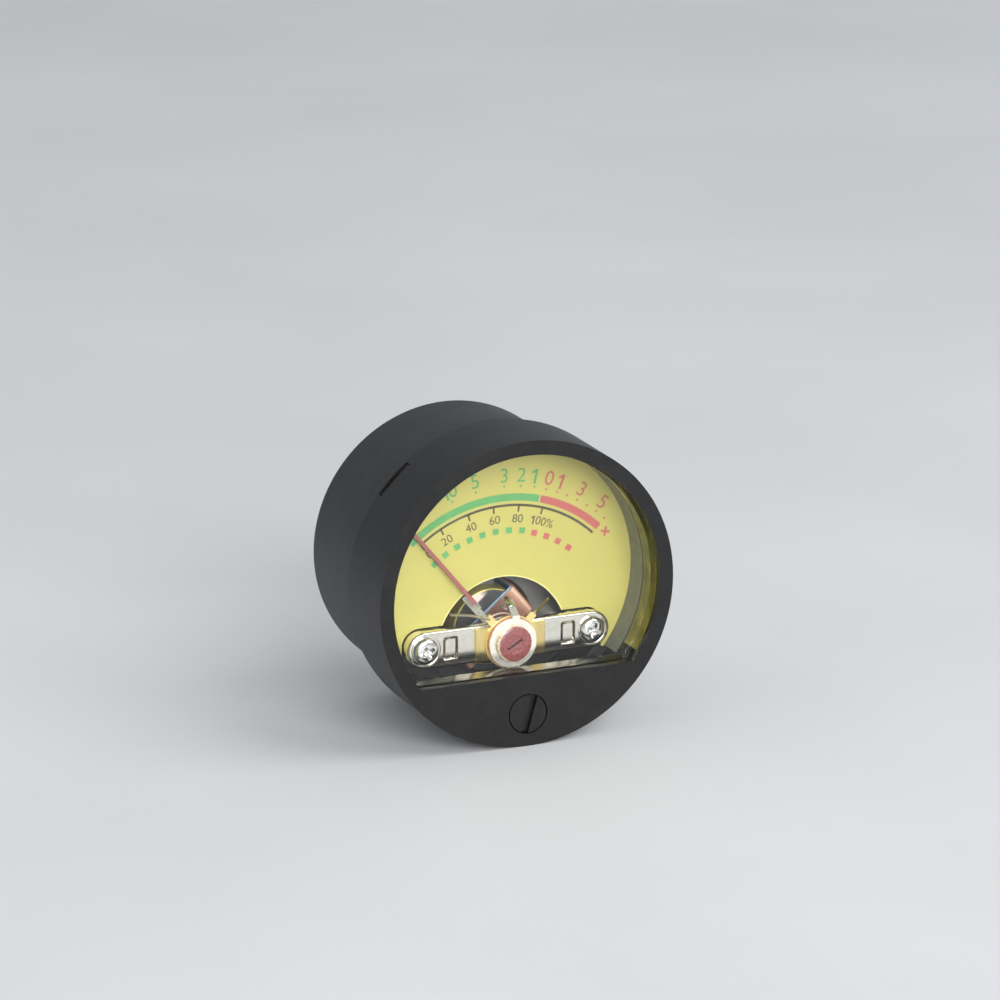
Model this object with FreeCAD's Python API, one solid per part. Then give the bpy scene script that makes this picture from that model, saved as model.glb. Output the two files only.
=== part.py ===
import FreeCAD, Part
import math
import os

# Round moving-coil VU meter, 45 mm barrel. Millimetres.
# +Z is up, the dial faces -Y, and the meter's axis is the Y axis.
# The origin is on that axis, in the plane of the front of the panel that the barrel stands in.

# Bezel
barrel_radius = 22.5
face_proud = 0.9             # how far the face stands in front of the panel
face_wall = 1.1
skirt_wall = 1.1
skirt_end_y = 11.2
face_edge_round = 0.3
window_rim = 2.1             # face left outside the window's round edge
window_above_zero = 5.8      # flat lower edge of the D-shaped window, above the zero screw's axis
snap_count = 4
snap_width = 6.0
snap_height = 1.2
snap_gap = 0.1

# Clear cover behind the bezel
cover_gap = 0.1              # between the cover and the skirt, all round
cover_plate = 1.8
cover_wall = 1.2
cover_sill_depth = 2.65      # how far the flat lower wall reaches back from the plate
sill_drop = 0.35             # top of the sill below the window's lower edge

# Dial
dial_y = 8.9
dial_thickness = 0.5
dial_gap = 0.1               # between the dial's rim and the skirt
dial_below_window = 0.5
dial_arch_radius = 10.0
dial_arch_drop = 1.25        # centre of the arch below the movement's axis
dial_slot_radius = 2.6
dial_slot_pitch = 25.8

# Rear case
collar_thickness = 1.6
collar_step = 0.3            # the collar is this much smaller in radius than the barrel
body_step = 1.9              # the body is this much smaller in radius than the barrel
body_wall = 1.4
back_inner_y = 28.6
back_wall = 1.6
boss_radius = 2.2
boss_wall_gap = 0.8          # between a boss and the wall of the body
boss_post_gap = 1.75         # between a side screw's head and the bridge post

# Movement
yoke_wall_gap = 0.85         # between the yoke and the wall of the body, below
rest_angle = -39.4           # the pointer at zero, from the upright

# Magnet core, yoke and coil
core_radius = 5.7
core_length = 8.4
core_gap = 0.25              # core to former, all round
former_wall = 0.15
former_half_width = 2.55
winding_depth = 0.4
winding_half_width = 2.4
coil_y = 12.5                # front of the winding
air_gap = 0.27               # winding to yoke
yoke_wall = 2.4
yoke_y = 14.9
yoke_length = 7.1
holder_width = 3.0
holder_inset = 0.6
coil_corner = 0.8

# Chassis
chassis_y = 15.6
chassis_thickness = 2.0
chassis_gap = 0.2            # to the wall of the case
press_gap = 0.05             # clearance of pieces that are pressed or cemented together

# Front bridge
bridge_y = 6.3
bridge_thickness = 1.3
bridge_half_height = 2.75
bridge_pitch = 25.8          # between the two screws
bridge_round = 0.45
peg_x = 9.1
peg_width = 1.5
peg_height = 2.7
peg_gap = 0.25
post_radius = 2.4
post_inner_x = 10.45
spigot_radius = 1.4
dish_radius = 2.3
dish_depth = 0.35
bridge_screw_radius = 0.9
bridge_screw_head_radius = 1.95
bridge_screw_head = 1.1
bridge_screw_length = 5.4
cross_slot_width = 0.5
cross_slot_length = 2.2
cross_slot_depth = 0.6

# Stack on the front bridge
neck_radius = 2.0
backing_plate = 0.4
backing_plate_width = 10.7
backing_plate_height = 4.8
stop_thickness = 0.28
stop_ring_radius = 3.95
stub_width = 1.1
tag_stub_angle = -42.0
tag_stub_reach = 5.7
stop_stub_angle = 42.0
stop_stub_reach = 5.2
stop_wire_radius = 0.2
stop_wire_angle = 54.3       # far end of the full-scale stop
stop_wire_reach = 8.4
washer_thickness = 0.32
washer_radius = 3.75
lever_play = 0.05
lever_thickness = 0.28
lever_ring_radius = 3.65
nut_thickness = 0.72
nut_radius = 2.65

# Jewels and pivots
jewel_screw_radius = 1.25
jewel_screw_sunk = 0.1
jewel_screw_slot = 0.35
jewel_screw_angle = 31.0
jewel_radius = 0.9
jewel_thickness = 0.9
jewel_rim = 0.2
pivot_radius = 0.3
pivot_clearance = 0.06
pivot_depth = 0.5
hub_radius = 0.8
collar_radius = 1.1
hub_flange_radius = 1.6
hub_flange = 0.3

# Pointer
needle_y = 7.9
needle_thickness = 0.25
needle_width = 0.6
needle_start = 7.2
needle_tip_gap = 3.1275      # from the tip to the cover's wall, with the pointer at zero
arm_y = 10.2
arm_thickness = 0.2
arm_width = 1.05
arm_reach = 8.0
arm_flange_start = 5.9
arm_flange_width = 0.15
arm_eye_radius = 1.9
tail_width = 0.5
tail_reach = 5.9
weight_radius = 0.72
weight_length = 1.8

# Hairsprings
spring_thickness = 0.12
spring_height = 0.35
spring_turns = 4
front_spring_y = 9.25
spring_outer_radius = 3.8

# Zero adjuster
zero_edge = 4.8              # from the zero screw's axis to the barrel's edge
zero_head_radius = 2.8
zero_head_gap = 0.18
zero_head = 1.1
zero_slot_width = 1.55
zero_slot_depth = 0.7
zero_slot_angle = 16.0
zero_shank_radius = 1.5
running_gap = 0.05
zero_boss_radius = 4.0
zero_boss_end_y = 3.2
clip_thickness = 0.35
clip_radius = 2.4
clip_groove = 0.35
pin_offset = 0.8             # eccentric pin from the screw's axis
pin_radius = 0.5
pin_gap = 0.07
fork_wall = 0.75
fork_reach = 1.2
lever_arm_width = 1.8
tab_x = 0.45
tab_width = 1.1
tab_reach = 5.7
tab_tip_y = 7.4
tab_end_y = 9.7

# Rear bridge
rear_bridge_y = 25.2
rear_bridge_thickness = 1.0
rear_bridge_half_length = 9.4
rear_bridge_half_height = 2.4
rear_foot_width = 2.0
rear_foot_half_height = 2.0
rear_screw_radius = 0.6
rear_screw_head_radius = 1.4
rear_screw_head = 1.0
rear_screw_bite = 2.5
lock_nut_flat = 4.0
lock_nut_thickness = 0.8
rear_jewel_screw_out = 1.4
tag_thickness = 0.2
tag_width = 1.0
tag_leg_z = 3.5

# Light
board_wall_gap = 0.8
board_width = 5.0
board_half_angle = 62.0
board_thickness = 1.0
led_size = 2.8
led_thickness = 0.9
led_angles = (-46.0, -20.0, 20.0, 46.0)
board_notch_radius = 2.5     # open notch round the top chassis screw
lamp_pin_radius = 0.45
lamp_pin_angle = 33.0
lamp_pin_out = 4.5
lamp_pin_clearance = 0.45

# Terminals
terminal_wall_gap = 9.2      # from a stud's axis to the wall of the body
terminal_z = -2.0
stud_radius = 1.5            # crest of the free thread
stud_core_radius = 1.25      # root of the thread, inside the wall, the tag, the washer and the nut
stud_out = 8.0
stud_head_flat = 5.5
stud_head = 1.2
tag_plate = 0.5
tag_plate_radius = 3.1
tag_plate_reach = 8.2
tag_eye_radius = 0.7
washer_plate = 0.5
nut_flat = 5.5
nut_height = 2.4
stud_gap = 0.1

# Wires and small screws
lead_radius = 0.2
chassis_screw_radius = 0.9
chassis_screw_head_radius = 1.8
chassis_screw_head = 1.0
chassis_screw_length = 7.0

# Places that follow from the sizes above
face_y = -face_proud
cover_y = face_y + face_wall
cover_back_y = cover_y + cover_plate
skirt_inner_radius = barrel_radius - skirt_wall
cover_radius = skirt_inner_radius - cover_gap
cover_inner_radius = cover_radius - cover_wall
window_radius = barrel_radius - window_rim
zero_z = zero_edge - barrel_radius
window_chord_z = zero_z + window_above_zero
sill_top_z = window_chord_z - sill_drop
sill_bottom_z = sill_top_z - cover_wall
dial_back_y = dial_y + dial_thickness
dial_radius = skirt_inner_radius - dial_gap
dial_bottom_z = window_chord_z - dial_below_window
body_radius = barrel_radius - body_step
body_inner_radius = body_radius - body_wall
collar_end_y = skirt_end_y + collar_thickness
case_back_y = back_inner_y + back_wall
former_front_y = coil_y + winding_depth
core_y = former_front_y + former_wall + core_gap
core_back_y = core_y + core_length
coil_back_y = core_back_y + core_gap + former_wall + winding_depth
former_half = core_radius + core_gap + former_wall
winding_half = former_half + winding_depth
yoke_bore = math.hypot(winding_half, winding_half_width) + air_gap
yoke_radius = yoke_bore + yoke_wall
axis_z = yoke_radius + yoke_wall_gap - body_inner_radius
dial_arch_z = axis_z - dial_arch_drop
rest_turn = math.radians(rest_angle)
tip_circle = cover_inner_radius - needle_tip_gap
needle_tip = math.sqrt(tip_circle ** 2 - (axis_z * math.sin(rest_turn)) ** 2) - axis_z * math.cos(rest_turn)
boss_circle = body_inner_radius - boss_radius - boss_wall_gap
side_boss_z = axis_z + post_radius + chassis_screw_head_radius + boss_post_gap
side_boss_angle = math.degrees(math.acos(side_boss_z / boss_circle))
boss_angles = (0.0, side_boss_angle, -side_boss_angle)
yoke_back_y = yoke_y + yoke_length
chassis_back_y = chassis_y + chassis_thickness
chassis_radius = body_inner_radius - chassis_gap
bridge_back_y = bridge_y + bridge_thickness
dish_y = bridge_y + dish_depth
backing_y = bridge_y - backing_plate
stop_y = backing_y - stop_thickness
washer_y = stop_y - washer_thickness
lever_back_y = washer_y - lever_play
lever_y = lever_back_y - lever_thickness
nut_back_y = lever_y - lever_play
nut_y = nut_back_y - nut_thickness
pivot_tip_y = bridge_back_y - jewel_rim - pivot_depth + pivot_clearance
front_jewel_y = bridge_back_y - jewel_rim - jewel_thickness
arm_back_y = arm_y + arm_thickness
front_hub_y = front_spring_y - 0.6
rear_spring_y = coil_back_y + 0.5
rear_hub_y = rear_spring_y + spring_height + 0.5
rear_bridge_back_y = rear_bridge_y + rear_bridge_thickness
rear_jewel_y = rear_bridge_y - 0.3
rear_jewel_tip_y = rear_jewel_y + pivot_depth - pivot_clearance
rear_screw_end_y = rear_bridge_back_y + rear_jewel_screw_out
foot_x = rear_bridge_half_length - rear_foot_width / 2
zero_seat_y = face_y + zero_head + 0.15
pin_z = zero_z - pin_offset
led_y = chassis_y - board_thickness - led_thickness
board_outer_radius = body_inner_radius - board_wall_gap
board_inner_radius = board_outer_radius - board_width
led_circle = (board_inner_radius + board_outer_radius) / 2
terminal_x = body_inner_radius - terminal_wall_gap


def cylinder(radius, start, end, x=0.0, z=0.0):
    """Round bar along Y from start to end."""
    return Part.makeCylinder(radius, end - start, FreeCAD.Vector(x, start, z), FreeCAD.Vector(0, 1, 0))


def tube(outer, inner, start, end, x=0.0, z=0.0):
    """Round tube along Y."""
    return cylinder(outer, start, end, x, z).cut(cylinder(inner, start, end, x, z))


def block(x0, x1, y0, y1, z0, z1):
    """Rectangular block between two corners."""
    return Part.makeBox(x1 - x0, y1 - y0, z1 - z0, FreeCAD.Vector(x0, y0, z0))


def stadium(half_pitch, radius, start, end, z):
    """Bar along Y whose section is a flat slot with round ends."""
    bar = block(-half_pitch, half_pitch, start, end, z - radius, z + radius)
    for side in (-1, 1):
        bar = bar.fuse(cylinder(radius, start, end, side * half_pitch, z))
    return bar.removeSplitter()


def turned(shape, degrees, x=0.0, z=axis_z):
    """Copy turned about a line along Y, clockwise as seen from the front."""
    copy = shape.copy()
    copy.rotate(FreeCAD.Vector(x, 0, z), FreeCAD.Vector(0, 1, 0), degrees)
    return copy


def on_circle(radius, degrees, z=0.0):
    """Place at this angle from the upright, clockwise as seen from the front."""
    angle = math.radians(degrees)
    return radius * math.sin(angle), z + radius * math.cos(angle)


def hexagon(flat, start, end, x, z):
    """Hexagonal prism along Y with this size across its flats."""
    corner = flat / math.sqrt(3)
    points = []
    for side in range(7):
        px, pz = on_circle(corner, 60 * side + 30)
        points.append(FreeCAD.Vector(x + px, start, z + pz))
    face = Part.Face(Part.makePolygon(points))
    return face.extrude(FreeCAD.Vector(0, end - start, 0))


def rod(radius, start, end):
    """Straight round wire between two points."""
    return Part.makeCylinder(radius, (end - start).Length, start, end - start)


def wire_through(radius, points):
    """Round wire that runs through the points, with a ball at each corner."""
    wire = rod(radius, points[0], points[1])
    for start, end in zip(points[1:-1], points[2:]):
        wire = wire.fuse(Part.makeSphere(radius, start))
        wire = wire.fuse(rod(radius, start, end))
    return wire


def edges_along(shape, direction):
    """Straight edges that run along a direction."""
    found = []
    for edge in shape.Edges:
        if edge.Curve.TypeId == "Part::GeomLine":
            run = edge.Vertexes[1].Point - edge.Vertexes[0].Point
            if abs(run.normalize().dot(direction)) > 0.999:
                found.append(edge)
    return found


def edges_at_y(shape, y):
    """Edges that lie wholly in one plane across the axis."""
    found = []
    for edge in shape.Edges:
        box = edge.BoundBox
        if abs(box.YMin - y) < 0.001 and abs(box.YMax - y) < 0.001:
            found.append(edge)
    return found


def save(name, shape):
    shape.exportStep("parts/" + name + ".step")


# Housing

def window_prism(radius, chord_z, start, end):
    """D-shaped prism: a disc with its lower part cut off."""
    disc = cylinder(radius, start, end)
    return disc.cut(block(-radius - 1, radius + 1, start, end, -radius - 1, chord_z))


def snap_blocks(width, outer, start, end):
    """Blocks that reach outwards through the skirt, between the quarters."""
    blocks = []
    inner = skirt_inner_radius - 0.5
    for index in range(snap_count):
        piece = block(-width / 2, width / 2, start, end, inner, outer)
        blocks.append(turned(piece, 360.0 * (index + 0.5) / snap_count, 0, 0))
    return blocks


def make_bezel():
    bezel = cylinder(barrel_radius, face_y, skirt_end_y)
    bezel = bezel.makeFillet(face_edge_round, edges_at_y(bezel, face_y))
    bezel = bezel.cut(cylinder(skirt_inner_radius, cover_y, skirt_end_y))
    bezel = bezel.cut(window_prism(window_radius, window_chord_z, face_y, cover_y))
    boss = cylinder(zero_boss_radius, cover_y, zero_boss_end_y, 0, zero_z)
    boss = boss.common(cylinder(barrel_radius - skirt_wall / 2, cover_y, zero_boss_end_y))
    bezel = bezel.fuse(boss)
    bezel = bezel.cut(cylinder(zero_head_radius + zero_head_gap, face_y, zero_seat_y, 0, zero_z))
    bore = cylinder(zero_shank_radius + running_gap, zero_seat_y, zero_boss_end_y, 0, zero_z)
    bezel = bezel.cut(bore)
    snap_y = snap_centre_y()
    windows = snap_blocks(snap_width, barrel_radius + 1, snap_y - snap_height / 2, snap_y + snap_height / 2)
    for window in windows:
        bezel = bezel.cut(window)
    return bezel.removeSplitter()


def snap_centre_y():
    """The snaps are halfway along the rim that enters the skirt."""
    return (dial_back_y + skirt_end_y) / 2


def make_clear_cover():
    cover = window_prism(cover_radius, sill_bottom_z, cover_y, dial_y)
    hollow = window_prism(cover_inner_radius, sill_top_z, cover_back_y, dial_y)
    cover = cover.cut(hollow)
    sill_end_y = cover_back_y + cover_sill_depth
    below = block(-cover_radius, cover_radius, sill_end_y, dial_y, -cover_radius, sill_top_z)
    return cover.cut(below).removeSplitter()


def make_dial():
    dial = cylinder(dial_radius, dial_y, dial_back_y)
    dial = dial.cut(block(-dial_radius, dial_radius, dial_y, dial_back_y, -dial_radius, dial_bottom_z))
    dial = dial.cut(cylinder(dial_arch_radius, dial_y, dial_back_y, 0, dial_arch_z))
    half = dial_slot_pitch / 2
    dial = dial.cut(stadium(half, dial_slot_radius, dial_y, dial_back_y, axis_z))
    side = half + dial_slot_radius
    dial = dial.cut(block(-side, side, dial_y, dial_back_y, dial_bottom_z, axis_z))
    return dial.removeSplitter()


def make_rear_case():
    rim_radius = skirt_inner_radius - cover_gap
    case = cylinder(rim_radius, dial_back_y, skirt_end_y)
    case = case.fuse(cylinder(barrel_radius - collar_step, skirt_end_y, collar_end_y))
    body = cylinder(body_radius, collar_end_y, case_back_y)
    body = body.makeFillet(back_wall / 2, edges_at_y(body, case_back_y))
    case = case.fuse(body)
    case = case.cut(cylinder(body_inner_radius, dial_back_y, back_inner_y))
    for angle in boss_angles:
        x, z = on_circle(boss_circle, angle)
        boss = cylinder(boss_radius, chassis_back_y, back_inner_y, x, z)
        hole_end = chassis_y + chassis_screw_length + 1.0
        hole = cylinder(chassis_screw_radius + press_gap, chassis_back_y, hole_end, x, z)
        case = case.fuse(boss.cut(hole))
    for side in (-1, 1):
        stud_hole = cylinder(stud_radius + stud_gap, back_inner_y, case_back_y, side * terminal_x, terminal_z)
        case = case.cut(stud_hole)
        x, z = on_circle(led_circle, side * lamp_pin_angle)
        pin_hole = cylinder(lamp_pin_radius + press_gap, back_inner_y, case_back_y, x, z)
        case = case.cut(pin_hole)
    snap_y = snap_centre_y()
    low = snap_y - snap_height / 2 + snap_gap
    high = snap_y + snap_height / 2 - snap_gap
    for lug in snap_blocks(snap_width - 2 * snap_gap, barrel_radius - 0.4, low, high):
        case = case.fuse(lug.cut(cylinder(body_inner_radius, low, high)))
    return case.removeSplitter()


# Magnet system

def make_chassis():
    chassis = cylinder(chassis_radius, chassis_y, chassis_back_y)
    chassis = chassis.cut(cylinder(yoke_radius + press_gap, chassis_y, chassis_back_y, 0, axis_z))
    for angle in boss_angles:
        x, z = on_circle(boss_circle, angle)
        chassis = chassis.cut(cylinder(chassis_screw_radius + 0.15, chassis_y, chassis_back_y, x, z))
    for side in (-1, 1):
        hole = cylinder(spigot_radius, chassis_y, chassis_back_y, side * bridge_pitch / 2, axis_z)
        chassis = chassis.cut(hole)
        pin_hole_radius = lamp_pin_radius + lamp_pin_clearance
        x, z = on_circle(led_circle, side * lamp_pin_angle)
        hole = cylinder(pin_hole_radius, chassis_y, chassis_back_y, x, z)
        chassis = chassis.cut(hole)
    lead_hole = cylinder(lead_radius + 0.4, chassis_y, chassis_back_y, lead_hole_x(), lead_hole_z())
    return chassis.cut(lead_hole).removeSplitter()


def lead_hole_x():
    """The front lead passes the chassis just outside the yoke, on the left."""
    return -(yoke_radius + 2.2)


def lead_hole_z():
    return axis_z + post_radius + 2.2


def make_chassis_screws():
    screws = []
    for angle in boss_angles:
        x, z = on_circle(boss_circle, angle)
        head = cylinder(chassis_screw_head_radius, chassis_y - chassis_screw_head, chassis_y, x, z)
        head = head.makeFillet(0.4, edges_at_y(head, chassis_y - chassis_screw_head))
        shank = cylinder(chassis_screw_radius, chassis_y, chassis_y + chassis_screw_length, x, z)
        screws.append(cross_recess(head.fuse(shank), chassis_y - chassis_screw_head, x, z).removeSplitter())
    return Part.makeCompound(screws)


def cross_recess(shape, top_y, x, z):
    """Cuts the cross that a screwdriver fits into a screw's head."""
    half = cross_slot_length / 2
    narrow = cross_slot_width / 2
    end_y = top_y + cross_slot_depth
    shape = shape.cut(block(x - half, x + half, top_y, end_y, z - narrow, z + narrow))
    return shape.cut(block(x - narrow, x + narrow, top_y, end_y, z - half, z + half))


def make_yoke():
    yoke = tube(yoke_radius, yoke_bore, yoke_y, yoke_back_y, 0, axis_z)
    for side in (-1, 1):
        depth = rear_screw_bite + 0.5
        hole = cylinder(rear_screw_radius + press_gap, yoke_back_y - depth, yoke_back_y, side * foot_x, axis_z)
        yoke = yoke.cut(hole)
    return yoke


def make_core():
    core = cylinder(core_radius, core_y, core_back_y, 0, axis_z)
    ends = edges_at_y(core, core_y) + edges_at_y(core, core_back_y)
    return core.makeFillet(0.2, ends)


def make_core_holders():
    """Two cast spacers that hold the core in the yoke, above and below the coil's sweep."""
    start = yoke_y + holder_inset
    end = yoke_back_y - holder_inset - 0.5
    ring = tube(yoke_bore, core_radius, start, end, 0, axis_z)
    half = holder_width / 2
    upper = ring.common(block(-half, half, start, end, axis_z, axis_z + yoke_bore))
    lower = ring.common(block(-half, half, start, end, axis_z - yoke_bore, axis_z))
    return Part.makeCompound([upper, lower])


# Front bridge and what is clamped on it

def make_bridge_posts():
    posts = []
    for side in (-1, 1):
        outer_x = side * bridge_pitch / 2
        inner_x = side * post_inner_x
        low_x = min(inner_x, outer_x)
        high_x = max(inner_x, outer_x)
        post = block(low_x, high_x, bridge_back_y, chassis_y, axis_z - post_radius, axis_z + post_radius)
        for x in (inner_x, outer_x):
            post = post.fuse(cylinder(post_radius, bridge_back_y, chassis_y, x, axis_z))
        step_y = yoke_y - press_gap
        post = post.cut(cylinder(yoke_radius + press_gap, step_y, chassis_y, 0, axis_z))
        post = post.fuse(cylinder(spigot_radius, chassis_y, chassis_back_y, outer_x, axis_z))
        x = side * peg_x
        half = peg_width / 2
        high = peg_height / 2
        peg = block(x - half, x + half, bridge_y + 0.1, bridge_back_y + 0.5, axis_z - high, axis_z + high)
        peg = peg.makeFillet(0.3, edges_along(peg, FreeCAD.Vector(0, 1, 0)))
        post = post.fuse(peg)
        hole_end = dish_y + bridge_screw_length + 0.8
        hole = cylinder(bridge_screw_radius + press_gap, bridge_back_y, hole_end, outer_x, axis_z)
        posts.append(post.cut(hole).removeSplitter())
    return Part.makeCompound(posts)


def make_front_bridge():
    bridge = stadium(bridge_pitch / 2, bridge_half_height, bridge_y, bridge_back_y, axis_z)
    bridge = bridge.makeFillet(bridge_round, edges_at_y(bridge, bridge_y))
    bridge = bridge.cut(cylinder(neck_radius, bridge_y, bridge_back_y, 0, axis_z))
    for side in (-1, 1):
        x = side * bridge_pitch / 2
        bridge = bridge.cut(cylinder(bridge_screw_radius + 0.15, bridge_y, bridge_back_y, x, axis_z))
        bridge = bridge.cut(cylinder(dish_radius, bridge_y, dish_y, x, axis_z))
        half = peg_width / 2 + peg_gap
        high = peg_height / 2 + peg_gap
        x = side * peg_x
        slot = block(x - half, x + half, bridge_y, bridge_back_y, axis_z - high, axis_z + high)
        bridge = bridge.cut(slot.makeFillet(0.35, edges_along(slot, FreeCAD.Vector(0, 1, 0))))
    return bridge


def make_bridge_screws():
    screws = []
    for side in (-1, 1):
        x = side * bridge_pitch / 2
        top_y = dish_y - bridge_screw_head
        head = cylinder(bridge_screw_head_radius, top_y, dish_y, x, axis_z)
        head = head.makeFillet(0.5, edges_at_y(head, top_y))
        shank = cylinder(bridge_screw_radius, dish_y, dish_y + bridge_screw_length, x, axis_z)
        screws.append(cross_recess(head.fuse(shank), top_y, x, axis_z).removeSplitter())
    return Part.makeCompound(screws)


def make_backing_plate():
    half = backing_plate_width / 2
    high = backing_plate_height / 2
    plate = block(-half, half, backing_y, bridge_y, axis_z - high, axis_z + high)
    return plate.cut(cylinder(neck_radius, backing_y, bridge_y, 0, axis_z))


def make_stop_arms():
    """Ring with two stubs; a wire on the right one stops the pointer at full scale."""
    ring = cylinder(stop_ring_radius, stop_y, backing_y, 0, axis_z)
    half = stub_width / 2
    for angle, reach in ((tag_stub_angle, tag_stub_reach), (stop_stub_angle, stop_stub_reach)):
        stub = block(-half, half, stop_y, backing_y, axis_z, axis_z + reach)
        stub = stub.makeFillet(0.4, edges_along(stub, FreeCAD.Vector(0, 1, 0))[:1])
        ring = ring.fuse(turned(stub, angle))
    mid_y = (stop_y + backing_y) / 2
    root_x, root_z = on_circle(stop_stub_reach - stop_wire_radius, stop_stub_angle, axis_z)
    tip_x, tip_z = on_circle(stop_wire_reach, stop_wire_angle, axis_z)
    root = FreeCAD.Vector(root_x, mid_y, root_z)
    tip = FreeCAD.Vector(tip_x, needle_y + needle_thickness, tip_z)
    ring = ring.fuse(rod(stop_wire_radius, root, tip))
    return ring.cut(cylinder(neck_radius, stop_y, backing_y, 0, axis_z)).removeSplitter()


def make_fibre_washer():
    return tube(washer_radius, neck_radius, washer_y, stop_y, 0, axis_z)


def make_front_jewel_nut():
    """Round nut whose neck goes through the whole stack and the bridge."""
    nut = cylinder(nut_radius, nut_y, nut_back_y, 0, axis_z)
    nut = nut.makeFillet(0.3, edges_at_y(nut, nut_y))
    nut = nut.fuse(cylinder(neck_radius, nut_back_y, bridge_back_y, 0, axis_z))
    return nut.cut(cylinder(jewel_screw_radius, nut_y, bridge_back_y, 0, axis_z)).removeSplitter()


def screw_slot(head_y, radius, width, depth, angle, x, z):
    """Straight driver slot across a round head."""
    slot = block(x - width / 2, x + width / 2, head_y, head_y + depth, z - radius - 1, z + radius + 1)
    return turned(slot, angle, x, z)


def make_front_jewel_screw():
    head_y = nut_y + jewel_screw_sunk
    screw = cylinder(jewel_screw_radius, head_y, bridge_back_y, 0, axis_z)
    screw = screw.cut(screw_slot(head_y, jewel_screw_radius, jewel_screw_slot, 0.5,
                                 90 - jewel_screw_angle, 0, axis_z))
    return screw.cut(cylinder(jewel_radius, front_jewel_y, bridge_back_y, 0, axis_z))


def make_front_jewel():
    jewel = cylinder(jewel_radius, front_jewel_y, front_jewel_y + jewel_thickness, 0, axis_z)
    cup_y = front_jewel_y + jewel_thickness - pivot_depth
    cup = cylinder(pivot_radius + pivot_clearance, cup_y, front_jewel_y + jewel_thickness, 0, axis_z)
    return jewel.cut(cup)


def make_front_lead():
    """Thin bare wire from the left stub, behind the dial and through the chassis to its terminal."""
    start_x, start_z = on_circle(tag_stub_reach - stub_width / 2, tag_stub_angle, axis_z)
    wire_y = stop_y - lead_radius - press_gap
    edge_x = -(dial_arch_radius - 2.0)
    edge_z = axis_z + 4.1
    hole_x = lead_hole_x()
    hole_z = lead_hole_z()
    points = [
        FreeCAD.Vector(start_x, wire_y, start_z),
        FreeCAD.Vector(start_x - 0.9, wire_y, start_z + 0.4),
        FreeCAD.Vector(start_x - 2.8, wire_y + 1.6, start_z + 0.5),
        FreeCAD.Vector(edge_x, dial_y - 0.3, edge_z),
        FreeCAD.Vector(edge_x, dial_back_y + 0.6, edge_z),
        FreeCAD.Vector(hole_x, chassis_y - 1.5, hole_z),
        FreeCAD.Vector(hole_x, chassis_back_y + 1.5, hole_z),
    ]
    return wire_through(lead_radius, points + stud_end(-1))


def stud_end(side):
    """Last bend of a lead and its end on the upper flat of a stud's head."""
    end_y = back_inner_y - stud_head / 2
    flat_z = terminal_z + stud_head_flat / 2
    return [FreeCAD.Vector(side * terminal_x, end_y, flat_z + 1.2),
            FreeCAD.Vector(side * terminal_x, end_y, flat_z)]


# Moving coil, built with the pointer upright and then turned to its zero

def coil_loop(half_x, start, end, half_width, corner):
    loop = block(-half_x, half_x, start, end, axis_z - half_width, axis_z + half_width)
    return loop.makeFillet(corner, edges_along(loop, FreeCAD.Vector(0, 0, 1)))


def make_coil_former():
    inner = coil_loop(former_half - former_wall, former_front_y + former_wall,
                      coil_back_y - winding_depth - former_wall, former_half_width, coil_corner / 2)
    outer = coil_loop(former_half, former_front_y, coil_back_y - winding_depth,
                      former_half_width, coil_corner / 2 + former_wall)
    return turned(outer.cut(inner), rest_angle)


def make_coil_winding():
    inner = coil_loop(former_half, former_front_y, coil_back_y - winding_depth,
                      winding_half_width, coil_corner / 2 + former_wall)
    outer = coil_loop(winding_half, coil_y, coil_back_y, winding_half_width,
                      coil_corner / 2 + former_wall + winding_depth)
    return turned(outer.cut(inner), rest_angle)


def make_front_hub():
    hub = cylinder(hub_radius, front_hub_y, coil_y, 0, axis_z)
    hub = hub.fuse(cylinder(collar_radius, front_spring_y, front_spring_y + spring_height, 0, axis_z))
    hub = hub.fuse(cylinder(hub_flange_radius, coil_y - hub_flange, coil_y, 0, axis_z))
    return hub.cut(cylinder(pivot_radius, front_hub_y, coil_y, 0, axis_z)).removeSplitter()


def make_front_pivot():
    return cylinder(pivot_radius, pivot_tip_y, coil_y, 0, axis_z)


def make_rear_hub():
    hub = cylinder(hub_radius, coil_back_y, rear_hub_y, 0, axis_z)
    hub = hub.fuse(cylinder(collar_radius, rear_spring_y, rear_spring_y + spring_height, 0, axis_z))
    hub = hub.fuse(cylinder(hub_flange_radius, coil_back_y, coil_back_y + hub_flange, 0, axis_z))
    return hub.cut(cylinder(pivot_radius, coil_back_y, rear_hub_y, 0, axis_z)).removeSplitter()


def make_rear_pivot():
    return cylinder(pivot_radius, coil_back_y, rear_jewel_tip_y, 0, axis_z)


def make_pointer_arm():
    """Folded strip: flat behind, with a flange that stands forward to the needle."""
    right = needle_width / 2
    arm = block(right - arm_width, right, arm_y, arm_back_y, axis_z, axis_z + arm_reach)
    flange_y = needle_y + needle_thickness
    flange = block(right - arm_flange_width, right, flange_y, arm_back_y,
                   axis_z + arm_flange_start, axis_z + arm_reach)
    arm = arm.fuse(cylinder(arm_eye_radius, arm_y, arm_back_y, 0, axis_z)).fuse(flange)
    arm = arm.cut(cylinder(hub_radius, arm_y, arm_back_y, 0, axis_z))
    return turned(arm.removeSplitter(), rest_angle)


def make_needle():
    half = needle_width / 2
    needle = block(-half, half, needle_y, needle_y + needle_thickness,
                   axis_z + needle_start, axis_z + needle_tip)
    return turned(needle, rest_angle)


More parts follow.
